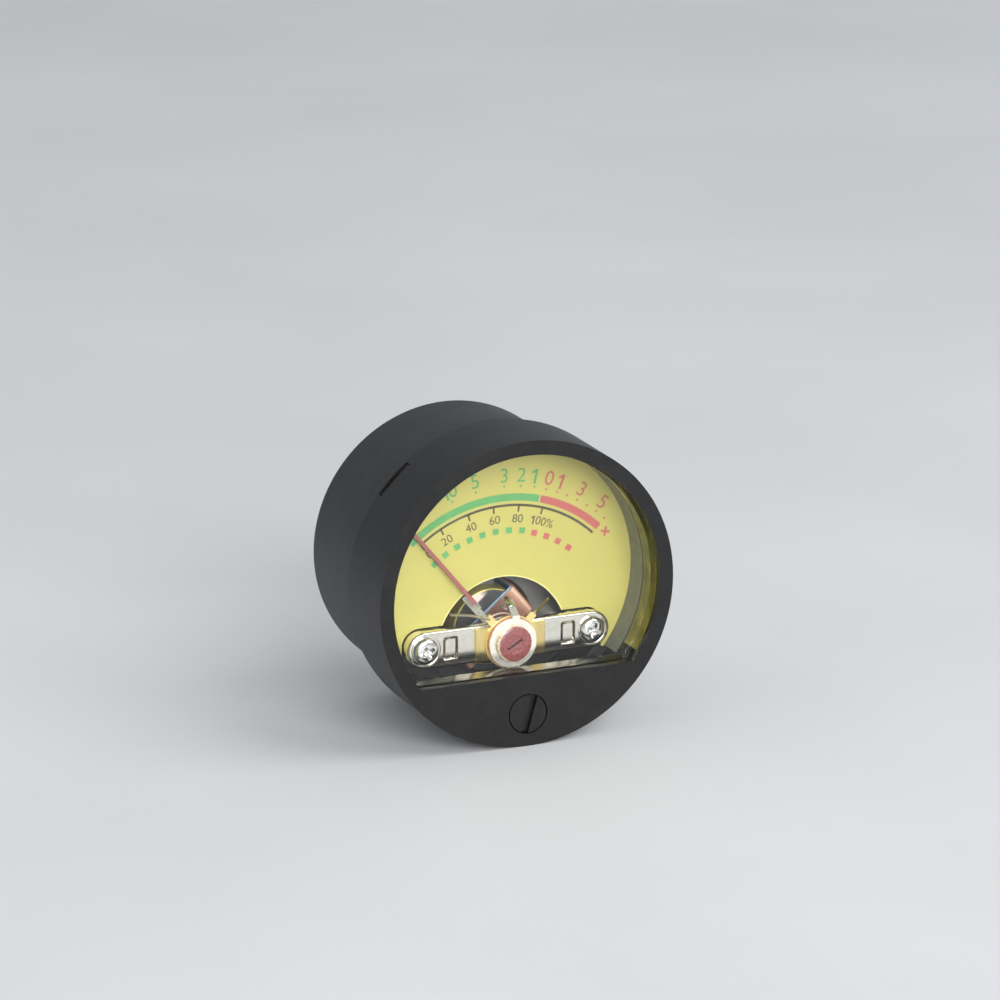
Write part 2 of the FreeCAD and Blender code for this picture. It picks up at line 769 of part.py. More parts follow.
def make_balance_tail():
    """Tail behind the pointer, which carries the weight."""
    half = tail_width / 2
    end_y = arm_back_y + arm_thickness
    tail = block(-half, half, arm_back_y, end_y, axis_z - tail_reach, axis_z)
    tail = tail.fuse(cylinder(arm_eye_radius - 0.4, arm_back_y, end_y, 0, axis_z))
    tail = tail.cut(cylinder(hub_radius, arm_back_y, end_y, 0, axis_z))
    return turned(tail.removeSplitter(), rest_angle)


def make_balance_weight():
    """Little sleeve on the tail that balances the pointer."""
    half = tail_width / 2
    end_y = arm_back_y + arm_thickness
    start = FreeCAD.Vector(0, (arm_back_y + end_y) / 2, axis_z - tail_reach + 0.2)
    sleeve = Part.makeCylinder(weight_radius, weight_length, start, FreeCAD.Vector(0, 0, 1))
    sleeve = sleeve.cut(block(-half, half, arm_back_y, end_y, axis_z - tail_reach, axis_z))
    return turned(sleeve, rest_angle)


def spiral_side(inner, step, halves, offset, y):
    """Arcs of one side of a spiral made of half circles about two centres."""
    arcs = []
    for half in range(halves):
        centre_x = step * (half % 2)
        radius = inner + step * half + offset
        flip = 1 if half % 2 == 0 else -1
        start = FreeCAD.Vector(centre_x + flip * radius, y, axis_z)
        middle = FreeCAD.Vector(centre_x, y, axis_z + flip * radius)
        end = FreeCAD.Vector(centre_x - flip * radius, y, axis_z)
        arcs.append(Part.Arc(start, middle, end))
    return arcs


def make_hairspring(start_y, end_angle):
    """Flat spiral strip whose outer end lies at this angle."""
    halves = 2 * spring_turns
    inner = collar_radius + press_gap + spring_thickness / 2
    step = (spring_outer_radius - inner) / halves
    outer_side = spiral_side(inner, step, halves, spring_thickness / 2, start_y)
    inner_side = spiral_side(inner, step, halves, -spring_thickness / 2, start_y)
    edges = [arc.toShape() for arc in outer_side]
    edges.append(Part.makeLine(outer_side[-1].EndPoint, inner_side[-1].EndPoint))
    edges += [arc.toShape() for arc in reversed(inner_side)]
    edges.append(Part.makeLine(inner_side[0].StartPoint, outer_side[0].StartPoint))
    outline = Part.Wire(Part.__sortEdges__(edges))
    spring = Part.Face(outline).extrude(FreeCAD.Vector(0, spring_height, 0))
    return turned(spring, end_angle - 90)


# Zero adjuster

def lever_tab():
    """Strip that leans back from the ring to its tip and returns to the hairspring's outer end."""
    left = tab_x - tab_width / 2
    root = lever_ring_radius + 0.3
    foot = spring_outer_radius + 0.1
    profile = [
        (lever_y, lever_ring_radius - 0.6), (lever_y, root), (tab_tip_y, tab_reach),
        (tab_end_y, foot + 0.3), (tab_end_y, foot), (front_spring_y, foot),
        (tab_tip_y, tab_reach - 0.45), (lever_back_y, root - 0.1), (lever_back_y, lever_ring_radius - 0.6),
    ]
    points = [FreeCAD.Vector(left, y, axis_z + reach) for y, reach in profile + profile[:1]]
    return Part.Face(Part.makePolygon(points)).extrude(FreeCAD.Vector(tab_width, 0, 0))


def make_zero_lever():
    """Ring on the nut's neck, a tab that holds the hairspring, and a forked arm below."""
    lever = cylinder(lever_ring_radius, lever_y, lever_back_y, 0, axis_z).fuse(lever_tab())
    fork_half = pin_radius + pin_gap + fork_wall
    fork_bottom = pin_z - pin_radius - fork_reach
    fork_top = pin_z + pin_radius + fork_reach
    half = lever_arm_width / 2
    lever = lever.fuse(block(-half, half, lever_y, lever_back_y, fork_top, axis_z))
    lever = lever.fuse(block(-fork_half, fork_half, lever_y, lever_back_y, fork_bottom, fork_top))
    slot_half = pin_radius + pin_gap
    slot_top = zero_z - pin_offset + pin_radius + 0.6
    lever = lever.cut(block(-slot_half, slot_half, lever_y, lever_back_y, fork_bottom, slot_top))
    lever = lever.cut(cylinder(neck_radius + running_gap, lever_y, lever_back_y, 0, axis_z))
    return lever.removeSplitter()


def make_zero_screw():
    head_end = zero_seat_y - lever_play
    head = cylinder(zero_head_radius, face_y + 0.05, head_end, 0, zero_z)
    head = head.makeFillet(0.15, edges_at_y(head, face_y + 0.05))
    head = head.cut(screw_slot(face_y + 0.05, zero_head_radius, zero_slot_width, zero_slot_depth,
                               zero_slot_angle, 0, zero_z))
    clip_y = zero_boss_end_y + lever_play
    clip_end = clip_y + clip_thickness
    shank_end = clip_end + 0.4
    screw = head.fuse(cylinder(zero_shank_radius, head_end, shank_end, 0, zero_z))
    groove = tube(zero_shank_radius + 1, zero_shank_radius - clip_groove, clip_y, clip_end, 0, zero_z)
    screw = screw.cut(groove)
    screw = screw.fuse(cylinder(pin_radius, shank_end, lever_back_y + 0.6, 0, pin_z))
    return screw.removeSplitter()


def make_zero_clip():
    """Open ring in the shank's groove, which keeps the screw in the bezel."""
    start = zero_boss_end_y + lever_play
    end = start + clip_thickness
    inner = zero_shank_radius - clip_groove
    clip = tube(clip_radius, inner, start, end, 0, zero_z)
    mouth = block(-inner * 0.8, inner * 0.8, start, end, zero_z, zero_z + clip_radius + 1)
    return clip.cut(mouth)


# Rear bridge

def make_rear_bridge():
    high = rear_bridge_half_height
    long = rear_bridge_half_length
    bridge = block(-long, long, rear_bridge_y, rear_bridge_back_y, axis_z - high, axis_z + high)
    bridge = bridge.makeFillet(1.2, edges_along(bridge, FreeCAD.Vector(0, 1, 0)))
    for side in (-1, 1):
        x = side * foot_x
        half = rear_foot_width / 2
        foot = block(x - half, x + half, yoke_back_y, rear_bridge_y,
                     axis_z - rear_foot_half_height, axis_z + rear_foot_half_height)
        bridge = bridge.fuse(foot.makeFillet(0.3, edges_along(foot, FreeCAD.Vector(0, 1, 0))))
    for side in (-1, 1):
        x = side * foot_x
        bridge = bridge.cut(cylinder(rear_screw_radius + 0.1, yoke_back_y, rear_bridge_back_y, x, axis_z))
    bridge = bridge.cut(cylinder(jewel_screw_radius, rear_bridge_y, rear_bridge_back_y, 0, axis_z))
    return bridge.removeSplitter()


def make_rear_bridge_screws():
    screws = []
    for side in (-1, 1):
        x = side * foot_x
        top_y = rear_bridge_back_y + rear_screw_head
        head = cylinder(rear_screw_head_radius, rear_bridge_back_y, top_y, x, axis_z)
        head = head.makeFillet(0.3, edges_at_y(head, top_y))
        shank = cylinder(rear_screw_radius, yoke_back_y - rear_screw_bite, rear_bridge_back_y, x, axis_z)
        slot_y = top_y - 0.5
        slot = block(x - 0.25, x + 0.25, slot_y, top_y, axis_z - 2, axis_z + 2)
        screws.append(head.fuse(shank).cut(slot).removeSplitter())
    return Part.makeCompound(screws)


def make_rear_jewel_screw():
    screw = cylinder(jewel_screw_radius, rear_jewel_y - jewel_rim, rear_screw_end_y, 0, axis_z)
    seat_end = rear_jewel_y + jewel_thickness
    screw = screw.cut(cylinder(jewel_radius, rear_jewel_y - jewel_rim, seat_end, 0, axis_z))
    half = jewel_screw_slot / 2
    slot = block(-jewel_screw_radius, jewel_screw_radius, rear_screw_end_y - 0.5, rear_screw_end_y,
                 axis_z - half, axis_z + half)
    return screw.cut(slot)


def make_rear_jewel():
    jewel = cylinder(jewel_radius, rear_jewel_y, rear_jewel_y + jewel_thickness, 0, axis_z)
    cup = cylinder(pivot_radius + pivot_clearance, rear_jewel_y, rear_jewel_y + pivot_depth, 0, axis_z)
    return jewel.cut(cup)


def make_rear_lock_nut():
    end = rear_bridge_back_y + lock_nut_thickness
    nut = hexagon(lock_nut_flat, rear_bridge_back_y, end, 0, axis_z)
    return nut.cut(cylinder(jewel_screw_radius, rear_bridge_back_y, end, 0, axis_z))


def make_rear_spring_tag():
    """Angle that the rear hairspring's outer end is soldered to."""
    half = tag_width / 2
    leg_top = axis_z + tag_leg_z + tag_thickness
    foot_y = rear_bridge_y - tag_thickness
    tag = block(-half, half, foot_y, rear_bridge_y, axis_z + jewel_screw_radius + 0.3, leg_top)
    leg = block(-half, half, rear_spring_y, foot_y, axis_z + tag_leg_z, leg_top)
    return tag.fuse(leg).removeSplitter()


def make_rear_lead():
    """Short bare wire from the rear tag to the right terminal."""
    tag_top = axis_z + tag_leg_z + tag_thickness + press_gap
    points = [
        FreeCAD.Vector(0, rear_bridge_y - lead_radius, tag_top),
        FreeCAD.Vector(0, rear_bridge_y, tag_top + 1.2),
    ]
    return wire_through(lead_radius, points + stud_end(1))


# Light and terminals

def make_light_board():
    start = chassis_y - board_thickness
    board = tube(board_outer_radius, board_inner_radius, start, chassis_y)
    corners = [FreeCAD.Vector(0, start, 0)]
    reach = 3 * board_outer_radius
    for angle in (-board_half_angle, 0.0, board_half_angle):
        x, z = on_circle(reach, angle)
        corners.append(FreeCAD.Vector(x, start, z))
    corners.append(corners[0])
    wedge = Part.Face(Part.makePolygon(corners)).extrude(FreeCAD.Vector(0, board_thickness, 0))
    board = board.common(wedge)
    board = board.cut(cylinder(board_notch_radius, start, chassis_y, 0, boss_circle))
    for side in (-1, 1):
        x, z = on_circle(led_circle, side * lamp_pin_angle)
        hole = cylinder(lamp_pin_radius + press_gap, start, chassis_y, x, z)
        board = board.cut(hole)
    return board


def make_leds():
    leds = []
    half = led_size / 2
    end = led_y + led_thickness
    for angle in led_angles:
        led = block(-half, half, led_y, end, led_circle - half, led_circle + half)
        leds.append(turned(led, angle, 0, 0))
    return Part.makeCompound(leds)


def make_lamp_pins():
    pins = []
    start = chassis_y - board_thickness - 0.4
    for side in (-1, 1):
        x, z = on_circle(led_circle, side * lamp_pin_angle)
        pin = cylinder(lamp_pin_radius, start, case_back_y + lamp_pin_out, x, z)
        pins.append(pin.makeFillet(0.15, edges_at_y(pin, case_back_y + lamp_pin_out)))
    return Part.makeCompound(pins)


def make_terminal_studs():
    studs = []
    for side in (-1, 1):
        x = side * terminal_x
        head = hexagon(stud_head_flat, back_inner_y - stud_head, back_inner_y, x, terminal_z)
        free_y = case_back_y + tag_plate + washer_plate + nut_height
        end = case_back_y + stud_out
        core = cylinder(stud_core_radius, back_inner_y, free_y, x, terminal_z)
        thread = cylinder(stud_radius, free_y, end, x, terminal_z)
        thread = thread.makeChamfer(0.4, edges_at_y(thread, end))
        studs.append(head.fuse(core).fuse(thread).removeSplitter())
    return Part.makeCompound(studs)


def make_solder_tags():
    """Flat tags under the nuts, with an eye for a wire."""
    tags = []
    end = case_back_y + tag_plate
    for side in (-1, 1):
        x = side * terminal_x
        tag = cylinder(tag_plate_radius, case_back_y, end, x, terminal_z)
        tag = tag.fuse(block(x - 1.4, x + 1.4, case_back_y, end, terminal_z - tag_plate_reach, terminal_z))
        tag = tag.fuse(cylinder(1.4, case_back_y, end, x, terminal_z - tag_plate_reach))
        tag = tag.cut(cylinder(tag_eye_radius, case_back_y, end, x, terminal_z - tag_plate_reach))
        tag = tag.cut(cylinder(stud_radius + stud_gap, case_back_y, end, x, terminal_z))
        tags.append(tag.removeSplitter())
    return Part.makeCompound(tags)


def make_terminal_washers():
    start = case_back_y + tag_plate
    washers = []
    for side in (-1, 1):
        washer = tube(tag_plate_radius, stud_radius + stud_gap, start, start + washer_plate,
                      side * terminal_x, terminal_z)
        washers.append(washer)
    return Part.makeCompound(washers)


def make_terminal_nuts():
    start = case_back_y + tag_plate + washer_plate
    nuts = []
    for side in (-1, 1):
        x = side * terminal_x
        nut = hexagon(nut_flat, start, start + nut_height, x, terminal_z)
        rounded = cylinder(nut_flat / math.sqrt(3), start, start + nut_height, x, terminal_z)
        rounded = rounded.makeChamfer(0.3, edges_at_y(rounded, start + nut_height))
        nut = nut.common(rounded)
        nuts.append(nut.cut(cylinder(stud_core_radius + press_gap, start, start + nut_height, x, terminal_z)))
    return Part.makeCompound(nuts)


os.makedirs("parts", exist_ok=True)

save("bezel", make_bezel())
save("clear_cover", make_clear_cover())
save("dial_plate", make_dial())
save("rear_case", make_rear_case())

save("chassis", make_chassis())
save("chassis_screws", make_chassis_screws())
save("yoke_ring", make_yoke())
save("core_magnet", make_core())
save("core_holders", make_core_holders())

save("bridge_posts", make_bridge_posts())
save("front_bridge", make_front_bridge())
save("bridge_screws", make_bridge_screws())
save("backing_plate", make_backing_plate())
save("stop_arms", make_stop_arms())
save("fibre_washer", make_fibre_washer())
save("front_jewel_nut", make_front_jewel_nut())
save("front_jewel_screw", make_front_jewel_screw())
save("front_jewel", make_front_jewel())
save("front_lead", make_front_lead())

save("coil_former", make_coil_former())
save("coil_winding", make_coil_winding())
save("front_hub", make_front_hub())
save("front_pivot", make_front_pivot())
save("rear_hub", make_rear_hub())
save("rear_pivot", make_rear_pivot())
save("pointer_arm", make_pointer_arm())
save("needle", make_needle())
save("balance_tail", make_balance_tail())
save("balance_weight", make_balance_weight())
save("front_hairspring", make_hairspring(front_spring_y, 6.0))
save("rear_hairspring", make_hairspring(rear_spring_y, 0.0))

save("zero_lever", make_zero_lever())
save("zero_screw", make_zero_screw())
save("zero_screw_clip", make_zero_clip())

save("rear_bridge", make_rear_bridge())
save("rear_bridge_screws", make_rear_bridge_screws())
save("rear_jewel_screw", make_rear_jewel_screw())
save("rear_jewel", make_rear_jewel())
save("rear_lock_nut", make_rear_lock_nut())
save("rear_spring_tag", make_rear_spring_tag())
save("rear_lead", make_rear_lead())

save("light_board", make_light_board())
save("leds", make_leds())
save("lamp_pins", make_lamp_pins())
save("terminal_studs", make_terminal_studs())
save("solder_tags", make_solder_tags())
save("terminal_washers", make_terminal_washers())
save("terminal_nuts", make_terminal_nuts())
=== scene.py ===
import math
import bmesh
import bpy
from mathutils import Matrix


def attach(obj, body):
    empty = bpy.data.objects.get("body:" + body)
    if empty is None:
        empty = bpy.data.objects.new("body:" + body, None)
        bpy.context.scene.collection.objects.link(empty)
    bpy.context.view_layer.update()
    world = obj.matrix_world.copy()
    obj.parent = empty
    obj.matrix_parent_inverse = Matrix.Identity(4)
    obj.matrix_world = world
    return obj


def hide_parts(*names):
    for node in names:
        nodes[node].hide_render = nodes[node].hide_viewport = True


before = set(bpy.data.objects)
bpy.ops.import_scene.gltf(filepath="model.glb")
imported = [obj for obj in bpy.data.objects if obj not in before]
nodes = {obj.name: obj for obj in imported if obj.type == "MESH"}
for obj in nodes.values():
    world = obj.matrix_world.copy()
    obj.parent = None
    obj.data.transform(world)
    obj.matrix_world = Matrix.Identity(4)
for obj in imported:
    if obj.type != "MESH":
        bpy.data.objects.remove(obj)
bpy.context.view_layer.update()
mm = 0.001

# Studio. The meter lies on its barrel on a pale table under a large soft lamp, and the camera
# stands a little to the left of the dial and above it.
bpy.ops.object.select_all(action="DESELECT")
bpy.ops.object.camera_add(
    location=(-0.265038, -0.604093, 0.209764),
    rotation=(math.radians(73.44621), math.radians(-0.08630), math.radians(-23.34353)))
camera = bpy.context.object
camera.data.sensor_width = 36
camera.data.lens = 176.81
bpy.context.scene.camera = camera

barrel_radius = 22.5
bpy.ops.mesh.primitive_plane_add(size=8, location=(0, 0, -barrel_radius * mm))
table = bpy.context.object
table.name = "table"


def lamp(name, power, size, place, towards):
    """Large soft lamp that looks at a point."""
    bpy.ops.object.light_add(type="AREA", location=place)
    light = bpy.context.object
    light.name = name
    light.data.shape = "DISK"
    light.data.size = size
    light.data.energy = power
    aim = [b - a for a, b in zip(place, towards)]
    flat = math.hypot(aim[0], aim[1])
    light.rotation_euler = (math.atan2(flat, -aim[2]), 0, math.atan2(-aim[0], aim[1]))


lamp("key_lamp", 11, 0.8, (-0.10, -1.08, 0.42), (0, 0, 0))
lamp("side_lamp", 6, 0.9, (0.7, -0.55, 0.9), (0, 0, 0))
bpy.context.scene.view_settings.view_transform = "Standard"
sky = bpy.data.worlds.new("pale_sky")
bpy.context.scene.world = sky
sky.use_nodes = True
sky.node_tree.nodes["Background"].inputs["Color"].default_value = (0.86, 0.89, 0.93, 1)
sky.node_tree.nodes["Background"].inputs["Strength"].default_value = 0.55

speckle = bpy.data.node_groups.new("even_speckle", "ShaderNodeTree")
speckle.interface.new_socket("Scale", in_out="INPUT", socket_type="NodeSocketFloat")
speckle.interface.new_socket("Amount", in_out="OUTPUT", socket_type="NodeSocketFloat")
entry = speckle.nodes.new("NodeGroupInput")
exit_node = speckle.nodes.new("NodeGroupOutput")
place = speckle.nodes.new("ShaderNodeTexCoord")
noise = speckle.nodes.new("ShaderNodeTexNoise")
noise.inputs["Detail"].default_value = 4
speckle.links.new(place.outputs["Object"], noise.inputs["Vector"])
speckle.links.new(entry.outputs["Scale"], noise.inputs["Scale"])
speckle.links.new(noise.outputs["Fac"], exit_node.inputs["Amount"])


def finish(name, light, dark, rough, metal=0.0, mottle=1200, grain=9000, relief=0.1, depth=0.02):
    """Material whose two shades, gloss and relief follow a coarse mottle and a fine grain."""
    material = bpy.data.materials.new(name)
    material.use_nodes = True
    tree = material.node_tree
    shader = tree.nodes["Principled BSDF"]
    shader.inputs["Metallic"].default_value = metal
    coarse = tree.nodes.new("ShaderNodeGroup")
    coarse.node_tree = speckle
    coarse.inputs["Scale"].default_value = mottle
    shade = tree.nodes.new("ShaderNodeValToRGB")
    shade.color_ramp.elements[0].position = 0.35
    shade.color_ramp.elements[0].color = (*dark, 1)
    shade.color_ramp.elements[1].position = 0.65
    shade.color_ramp.elements[1].color = (*light, 1)
    tree.links.new(coarse.outputs["Amount"], shade.inputs["Fac"])
    tree.links.new(shade.outputs["Color"], shader.inputs["Base Color"])
    gloss = tree.nodes.new("ShaderNodeMapRange")
    gloss.inputs["From Min"].default_value = 0.3
    gloss.inputs["From Max"].default_value = 0.7
    gloss.inputs["To Min"].default_value = rough[0]
    gloss.inputs["To Max"].default_value = rough[1]
    fine = tree.nodes.new("ShaderNodeGroup")
    fine.node_tree = speckle
    fine.inputs["Scale"].default_value = grain
    tree.links.new(fine.outputs["Amount"], gloss.inputs["Value"])
    tree.links.new(gloss.outputs["Result"], shader.inputs["Roughness"])
    bump = tree.nodes.new("ShaderNodeBump")
    bump.inputs["Strength"].default_value = relief
    bump.inputs["Distance"].default_value = depth * mm
    tree.links.new(fine.outputs["Amount"], bump.inputs["Height"])
    tree.links.new(bump.outputs["Normal"], shader.inputs["Normal"])
    return material


table.data.materials.append(finish("table_paper", (0.74, 0.745, 0.75), (0.70, 0.705, 0.71),
                                   (0.6, 0.75), mottle=12, grain=900))

# Bezel. A black moulded barrel with a D-shaped window in its face and a round recess for the
# zero screw; four windows in its skirt take the snaps of the rear case.


def turn(name, corners, sides=96, x=0.0, z=0.0, ring=False):
    """Turned piece: a circle drawn along Y through the corners (radius, y) of its profile."""
    bpy.ops.object.select_all(action="DESELECT")
    radius, y = corners[0]
    bpy.ops.mesh.primitive_circle_add(
        vertices=sides, radius=radius * mm, fill_type="NOTHING" if ring else "NGON",
        location=(x * mm, y * mm, z * mm), rotation=(math.pi / 2, 0, 0))
    piece = bpy.context.object
    piece.name = name
    piece.data.name = name
    bpy.ops.object.transform_apply(location=True, rotation=True, scale=True)
    bpy.ops.object.mode_set(mode="EDIT")
    bpy.ops.mesh.select_mode(type="EDGE" if ring else "FACE")
    bpy.ops.mesh.select_all(action="SELECT")
    for (radius, y), (next_radius, next_y) in zip(corners, corners[1:]):
        bpy.ops.mesh.extrude_region_move(
            TRANSFORM_OT_translate={"value": (0, (next_y - y) * mm, 0)})
        grow = next_radius / radius
        bpy.ops.transform.resize(value=(grow, 1, grow),
                                 center_override=(x * mm, next_y * mm, z * mm))
    bpy.ops.mesh.select_all(action="SELECT")
    if ring:
        bpy.ops.mesh.remove_doubles(threshold=0.001 * mm)
    bpy.ops.mesh.normals_make_consistent(inside=False)
    bpy.ops.object.mode_set(mode="OBJECT")
    return piece


def block(name, low, high, turned=0.0, about=(0.0, 0.0)):
    """Rectangular piece between two corners, turned about a line along Y."""
    bpy.ops.object.select_all(action="DESELECT")
    middle = [(a + b) / 2 * mm for a, b in zip(low, high)]
    bpy.ops.mesh.primitive_cube_add(size=1, location=middle,
                                    scale=[(b - a) * mm for a, b in zip(low, high)])
    piece = bpy.context.object
    piece.name = name
    piece.data.name = name
    bpy.ops.object.transform_apply(location=True, rotation=True, scale=True)
    turn_about(piece, turned, about)
    return piece


def turn_about(piece, degrees, about=(0.0, 0.0)):
    """Turn a piece's mesh clockwise, as seen from the front, about a line along Y."""
    centre = Matrix.Translation((about[0] * mm, 0, about[1] * mm))
    swing = Matrix.Rotation(math.radians(degrees), 4, "Y")
    piece.data.transform(centre @ swing @ centre.inverted())


def joined(piece, other, how="DIFFERENCE"):
    """Cut the other shape out of a piece, or add it or keep what they share."""
    bpy.ops.object.select_all(action="DESELECT")
    bpy.context.view_layer.objects.active = piece
    piece.select_set(True)
    bpy.ops.object.modifier_add(type="BOOLEAN")
    modifier = piece.modifiers[-1]
    modifier.object = other
    modifier.operation = how
    modifier.solver = "EXACT"
    bpy.ops.object.modifier_apply(modifier=modifier.name)
    bpy.data.objects.remove(other)
    return piece


def flat_below(piece, level):
    """Cut a piece off flat below a level."""
    bpy.ops.object.select_all(action="DESELECT")
    bpy.context.view_layer.objects.active = piece
    piece.select_set(True)
    bpy.ops.object.mode_set(mode="EDIT")
    bpy.ops.mesh.select_all(action="SELECT")
    bpy.ops.mesh.bisect(plane_co=(0, 0, level * mm), plane_no=(0, 0, 1), clear_inner=True,
                        use_fill=True)
    bpy.ops.mesh.select_all(action="SELECT")
    bpy.ops.mesh.normals_make_consistent(inside=False)
    bpy.ops.object.mode_set(mode="OBJECT")
    return piece


def soften(piece, width, segments=3, angle=40):
    """Round a piece's sharp edges and shade its faces smooth."""
    bpy.ops.object.select_all(action="DESELECT")
    bpy.context.view_layer.objects.active = piece
    piece.select_set(True)
    if width:
        bpy.ops.object.modifier_add(type="BEVEL")
        bevel = piece.modifiers[-1]
        bevel.width = width * mm
        bevel.segments = segments
        bevel.limit_method = "ANGLE"
        bevel.angle_limit = math.radians(angle)
        bevel.use_clamp_overlap = True
        bpy.ops.object.modifier_apply(modifier=bevel.name)
    bpy.ops.object.shade_smooth_by_angle(angle=math.radians(angle))
    bpy.ops.object.modifier_add(type="WEIGHTED_NORMAL")
    weighted = piece.modifiers[-1]
    weighted.keep_sharp = True
    bpy.ops.object.modifier_apply(modifier=weighted.name)
    return piece


def mount(piece, body, slot, material, *stands_for):
    """Give a piece its finish, the body that carries it and the solids that it stands for."""
    piece.data.materials.clear()
    piece.data.materials.append(material)
    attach(piece, body)
    if stands_for:
        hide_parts(*stands_for)


def dress(node, material, width=0.0, segments=2, angle=40):
    """A piece that keeps its solid's shape gets its finish and softly rounded edges."""
    piece = nodes[node]
    for place in piece.material_slots:
        place.material = material
    if width:
        weld = piece.modifiers.new("weld", "WELD")
        weld.merge_threshold = 0.0005 * mm
        bevel = piece.modifiers.new("soft_edges", "BEVEL")
        bevel.width = width * mm
        bevel.segments = segments
        bevel.limit_method = "ANGLE"
        bevel.angle_limit = math.radians(angle)


zero_screw_z = -17.7
skirt_radius, skirt_end = 21.4, 11.2
bezel = turn("bezel_barrel", [(barrel_radius, -0.9), (barrel_radius, skirt_end),
                              (skirt_radius, skirt_end), (skirt_radius, 0.2)], sides=180)
joined(bezel, turn("boss", [(4.0, -0.4), (4.0, 3.2)], z=zero_screw_z), "UNION")
joined(bezel, flat_below(turn("window", [(20.4, -2), (20.4, 1)], sides=180), -11.9))
joined(bezel, turn("recess", [(2.98, -2), (2.98, 0.35)], z=zero_screw_z))
joined(bezel, turn("bore", [(1.55, 0), (1.55, 4)], sides=64, z=zero_screw_z))
for quarter in range(4):
    joined(bezel, block("snap_window", (-3, 9.7, 20.9), (3, 10.9, 23.5), 45 + 90 * quarter))
soften(bezel, 0.16)
black_plastic = finish("black_satin_plastic", (0.014, 0.014, 0.0145), (0.010, 0.010, 0.0105),
                       (0.36, 0.46), mottle=500, grain=14000, relief=0.35, depth=0.012)
black_plastic.node_tree.nodes["Principled BSDF"].inputs["Specular IOR Level"].default_value = 0.3
mount(bezel, "housing", "black_satin_plastic", black_plastic, "bezel")

# Clear cover. One moulding in clear acrylic: a flat front plate and a wall that runs back to the
# dial, matt inside behind a black band of painted shadow, and painted outside in the dial's yellow
# as a painted reflection. The sill below is polished and mirrors the movement; painted shade
# darkens its ends, and the cover's lowest faces are painted black as shade.
inside_radius = 21.3
hollow_radius = 20.1
sill_z = -12.25
wall_bottom_z = -12.2
plate_back, shadow_band_start, shadow_band_end = 2.0, 4.5, 4.85
dial_y = 8.9
cover = flat_below(turn("clear_window", [(inside_radius, 0.2), (inside_radius, dial_y)],
                        sides=180), -13.45)
hollow = turn("hollow", [(hollow_radius, plate_back), (hollow_radius, shadow_band_start),
                         (hollow_radius, shadow_band_end), (hollow_radius, 10)], sides=180)
joined(cover, flat_below(hollow, sill_z))
joined(cover, block("below_wall", (-23, 4.65, -15), (23, 10, wall_bottom_z)))
soften(cover, 0.12)
clear_plastic = bpy.data.materials.new("clear_plastic")
clear_plastic.use_nodes = True
tree = clear_plastic.node_tree
shader = tree.nodes["Principled BSDF"]
shader.inputs["Base Color"].default_value = (1, 1, 1, 1)
shader.inputs["Roughness"].default_value = 0.0
shader.inputs["IOR"].default_value = 1.33
shader.inputs["Transmission Weight"].default_value = 1.0
ripple = tree.nodes.new("ShaderNodeGroup")
ripple.node_tree = speckle
ripple.inputs["Scale"].default_value = 60
flow = tree.nodes.new("ShaderNodeBump")
flow.inputs["Strength"].default_value = 0.02
flow.inputs["Distance"].default_value = 0.05 * mm
tree.links.new(ripple.outputs["Amount"], flow.inputs["Height"])
tree.links.new(flow.outputs["Normal"], shader.inputs["Normal"])
pass_light = tree.nodes.new("ShaderNodeBsdfTransparent")
path = tree.nodes.new("ShaderNodeLightPath")
blend = tree.nodes.new("ShaderNodeMixShader")
tree.links.new(path.outputs["Is Shadow Ray"], blend.inputs["Fac"])
tree.links.new(shader.outputs["BSDF"], blend.inputs[1])
tree.links.new(pass_light.outputs["BSDF"], blend.inputs[2])
tree.links.new(blend.outputs["Shader"], tree.nodes["Material Output"].inputs["Surface"])
mount(cover, "housing", "clear_plastic", clear_plastic, "clear_cover")
matt_wall = finish("matt_clear_plastic", (0.15, 0.155, 0.125), (0.11, 0.115, 0.09),
                   (0.3, 0.42), mottle=700, grain=12000, relief=0.3, depth=0.01)
# Painted reflection: the outer wall is coloured in the dial's yellow, which the clear plastic
# would show only by reflection.
painted_dial_reflection = finish("plastic_painted_with_dial_reflection", (0.40, 0.36, 0.08), (0.25, 0.23, 0.05),
                     (0.2, 0.3), mottle=500, grain=9000, relief=0.2, depth=0.01)
polished_sill = finish("polished_sill", (0.19, 0.185, 0.155), (0.11, 0.105, 0.085),
                       (0.12, 0.22), 0.9, mottle=500, grain=9000, relief=0.25, depth=0.01)
tree = polished_sill.node_tree
place = tree.nodes.new("ShaderNodeTexCoord")
split = tree.nodes.new("ShaderNodeSeparateXYZ")
fall = tree.nodes.new("ShaderNodeBump")
fall.inputs["Distance"].default_value = 0.25
tree.links.new(place.outputs["Object"], split.inputs["Vector"])
tree.links.new(split.outputs["Y"], fall.inputs["Height"])
tree.links.new(tree.nodes["Bump"].outputs["Normal"], fall.inputs["Normal"])
tree.links.new(fall.outputs["Normal"], tree.nodes["Principled BSDF"].inputs["Normal"])

axis_z = -8.751  # height of the line that the coil turns about
round_zone = bpy.data.node_groups.new("round_zone", "ShaderNodeTree")
for name in ("Aside", "Level", "Inner", "Outer", "Waver"):
    round_zone.interface.new_socket(name, in_out="INPUT", socket_type="NodeSocketFloat")
round_zone.interface.new_socket("Amount", in_out="OUTPUT", socket_type="NodeSocketFloat")
entry = round_zone.nodes.new("NodeGroupInput")
exit_node = round_zone.nodes.new("NodeGroupOutput")
place = round_zone.nodes.new("ShaderNodeTexCoord")
centre = round_zone.nodes.new("ShaderNodeCombineXYZ")
away = round_zone.nodes.new("ShaderNodeVectorMath")
away.operation = "SUBTRACT"
flat = round_zone.nodes.new("ShaderNodeVectorMath")
flat.operation = "MULTIPLY"
flat.inputs[1].default_value = (1, 0, 1)
reach = round_zone.nodes.new("ShaderNodeVectorMath")
reach.operation = "LENGTH"
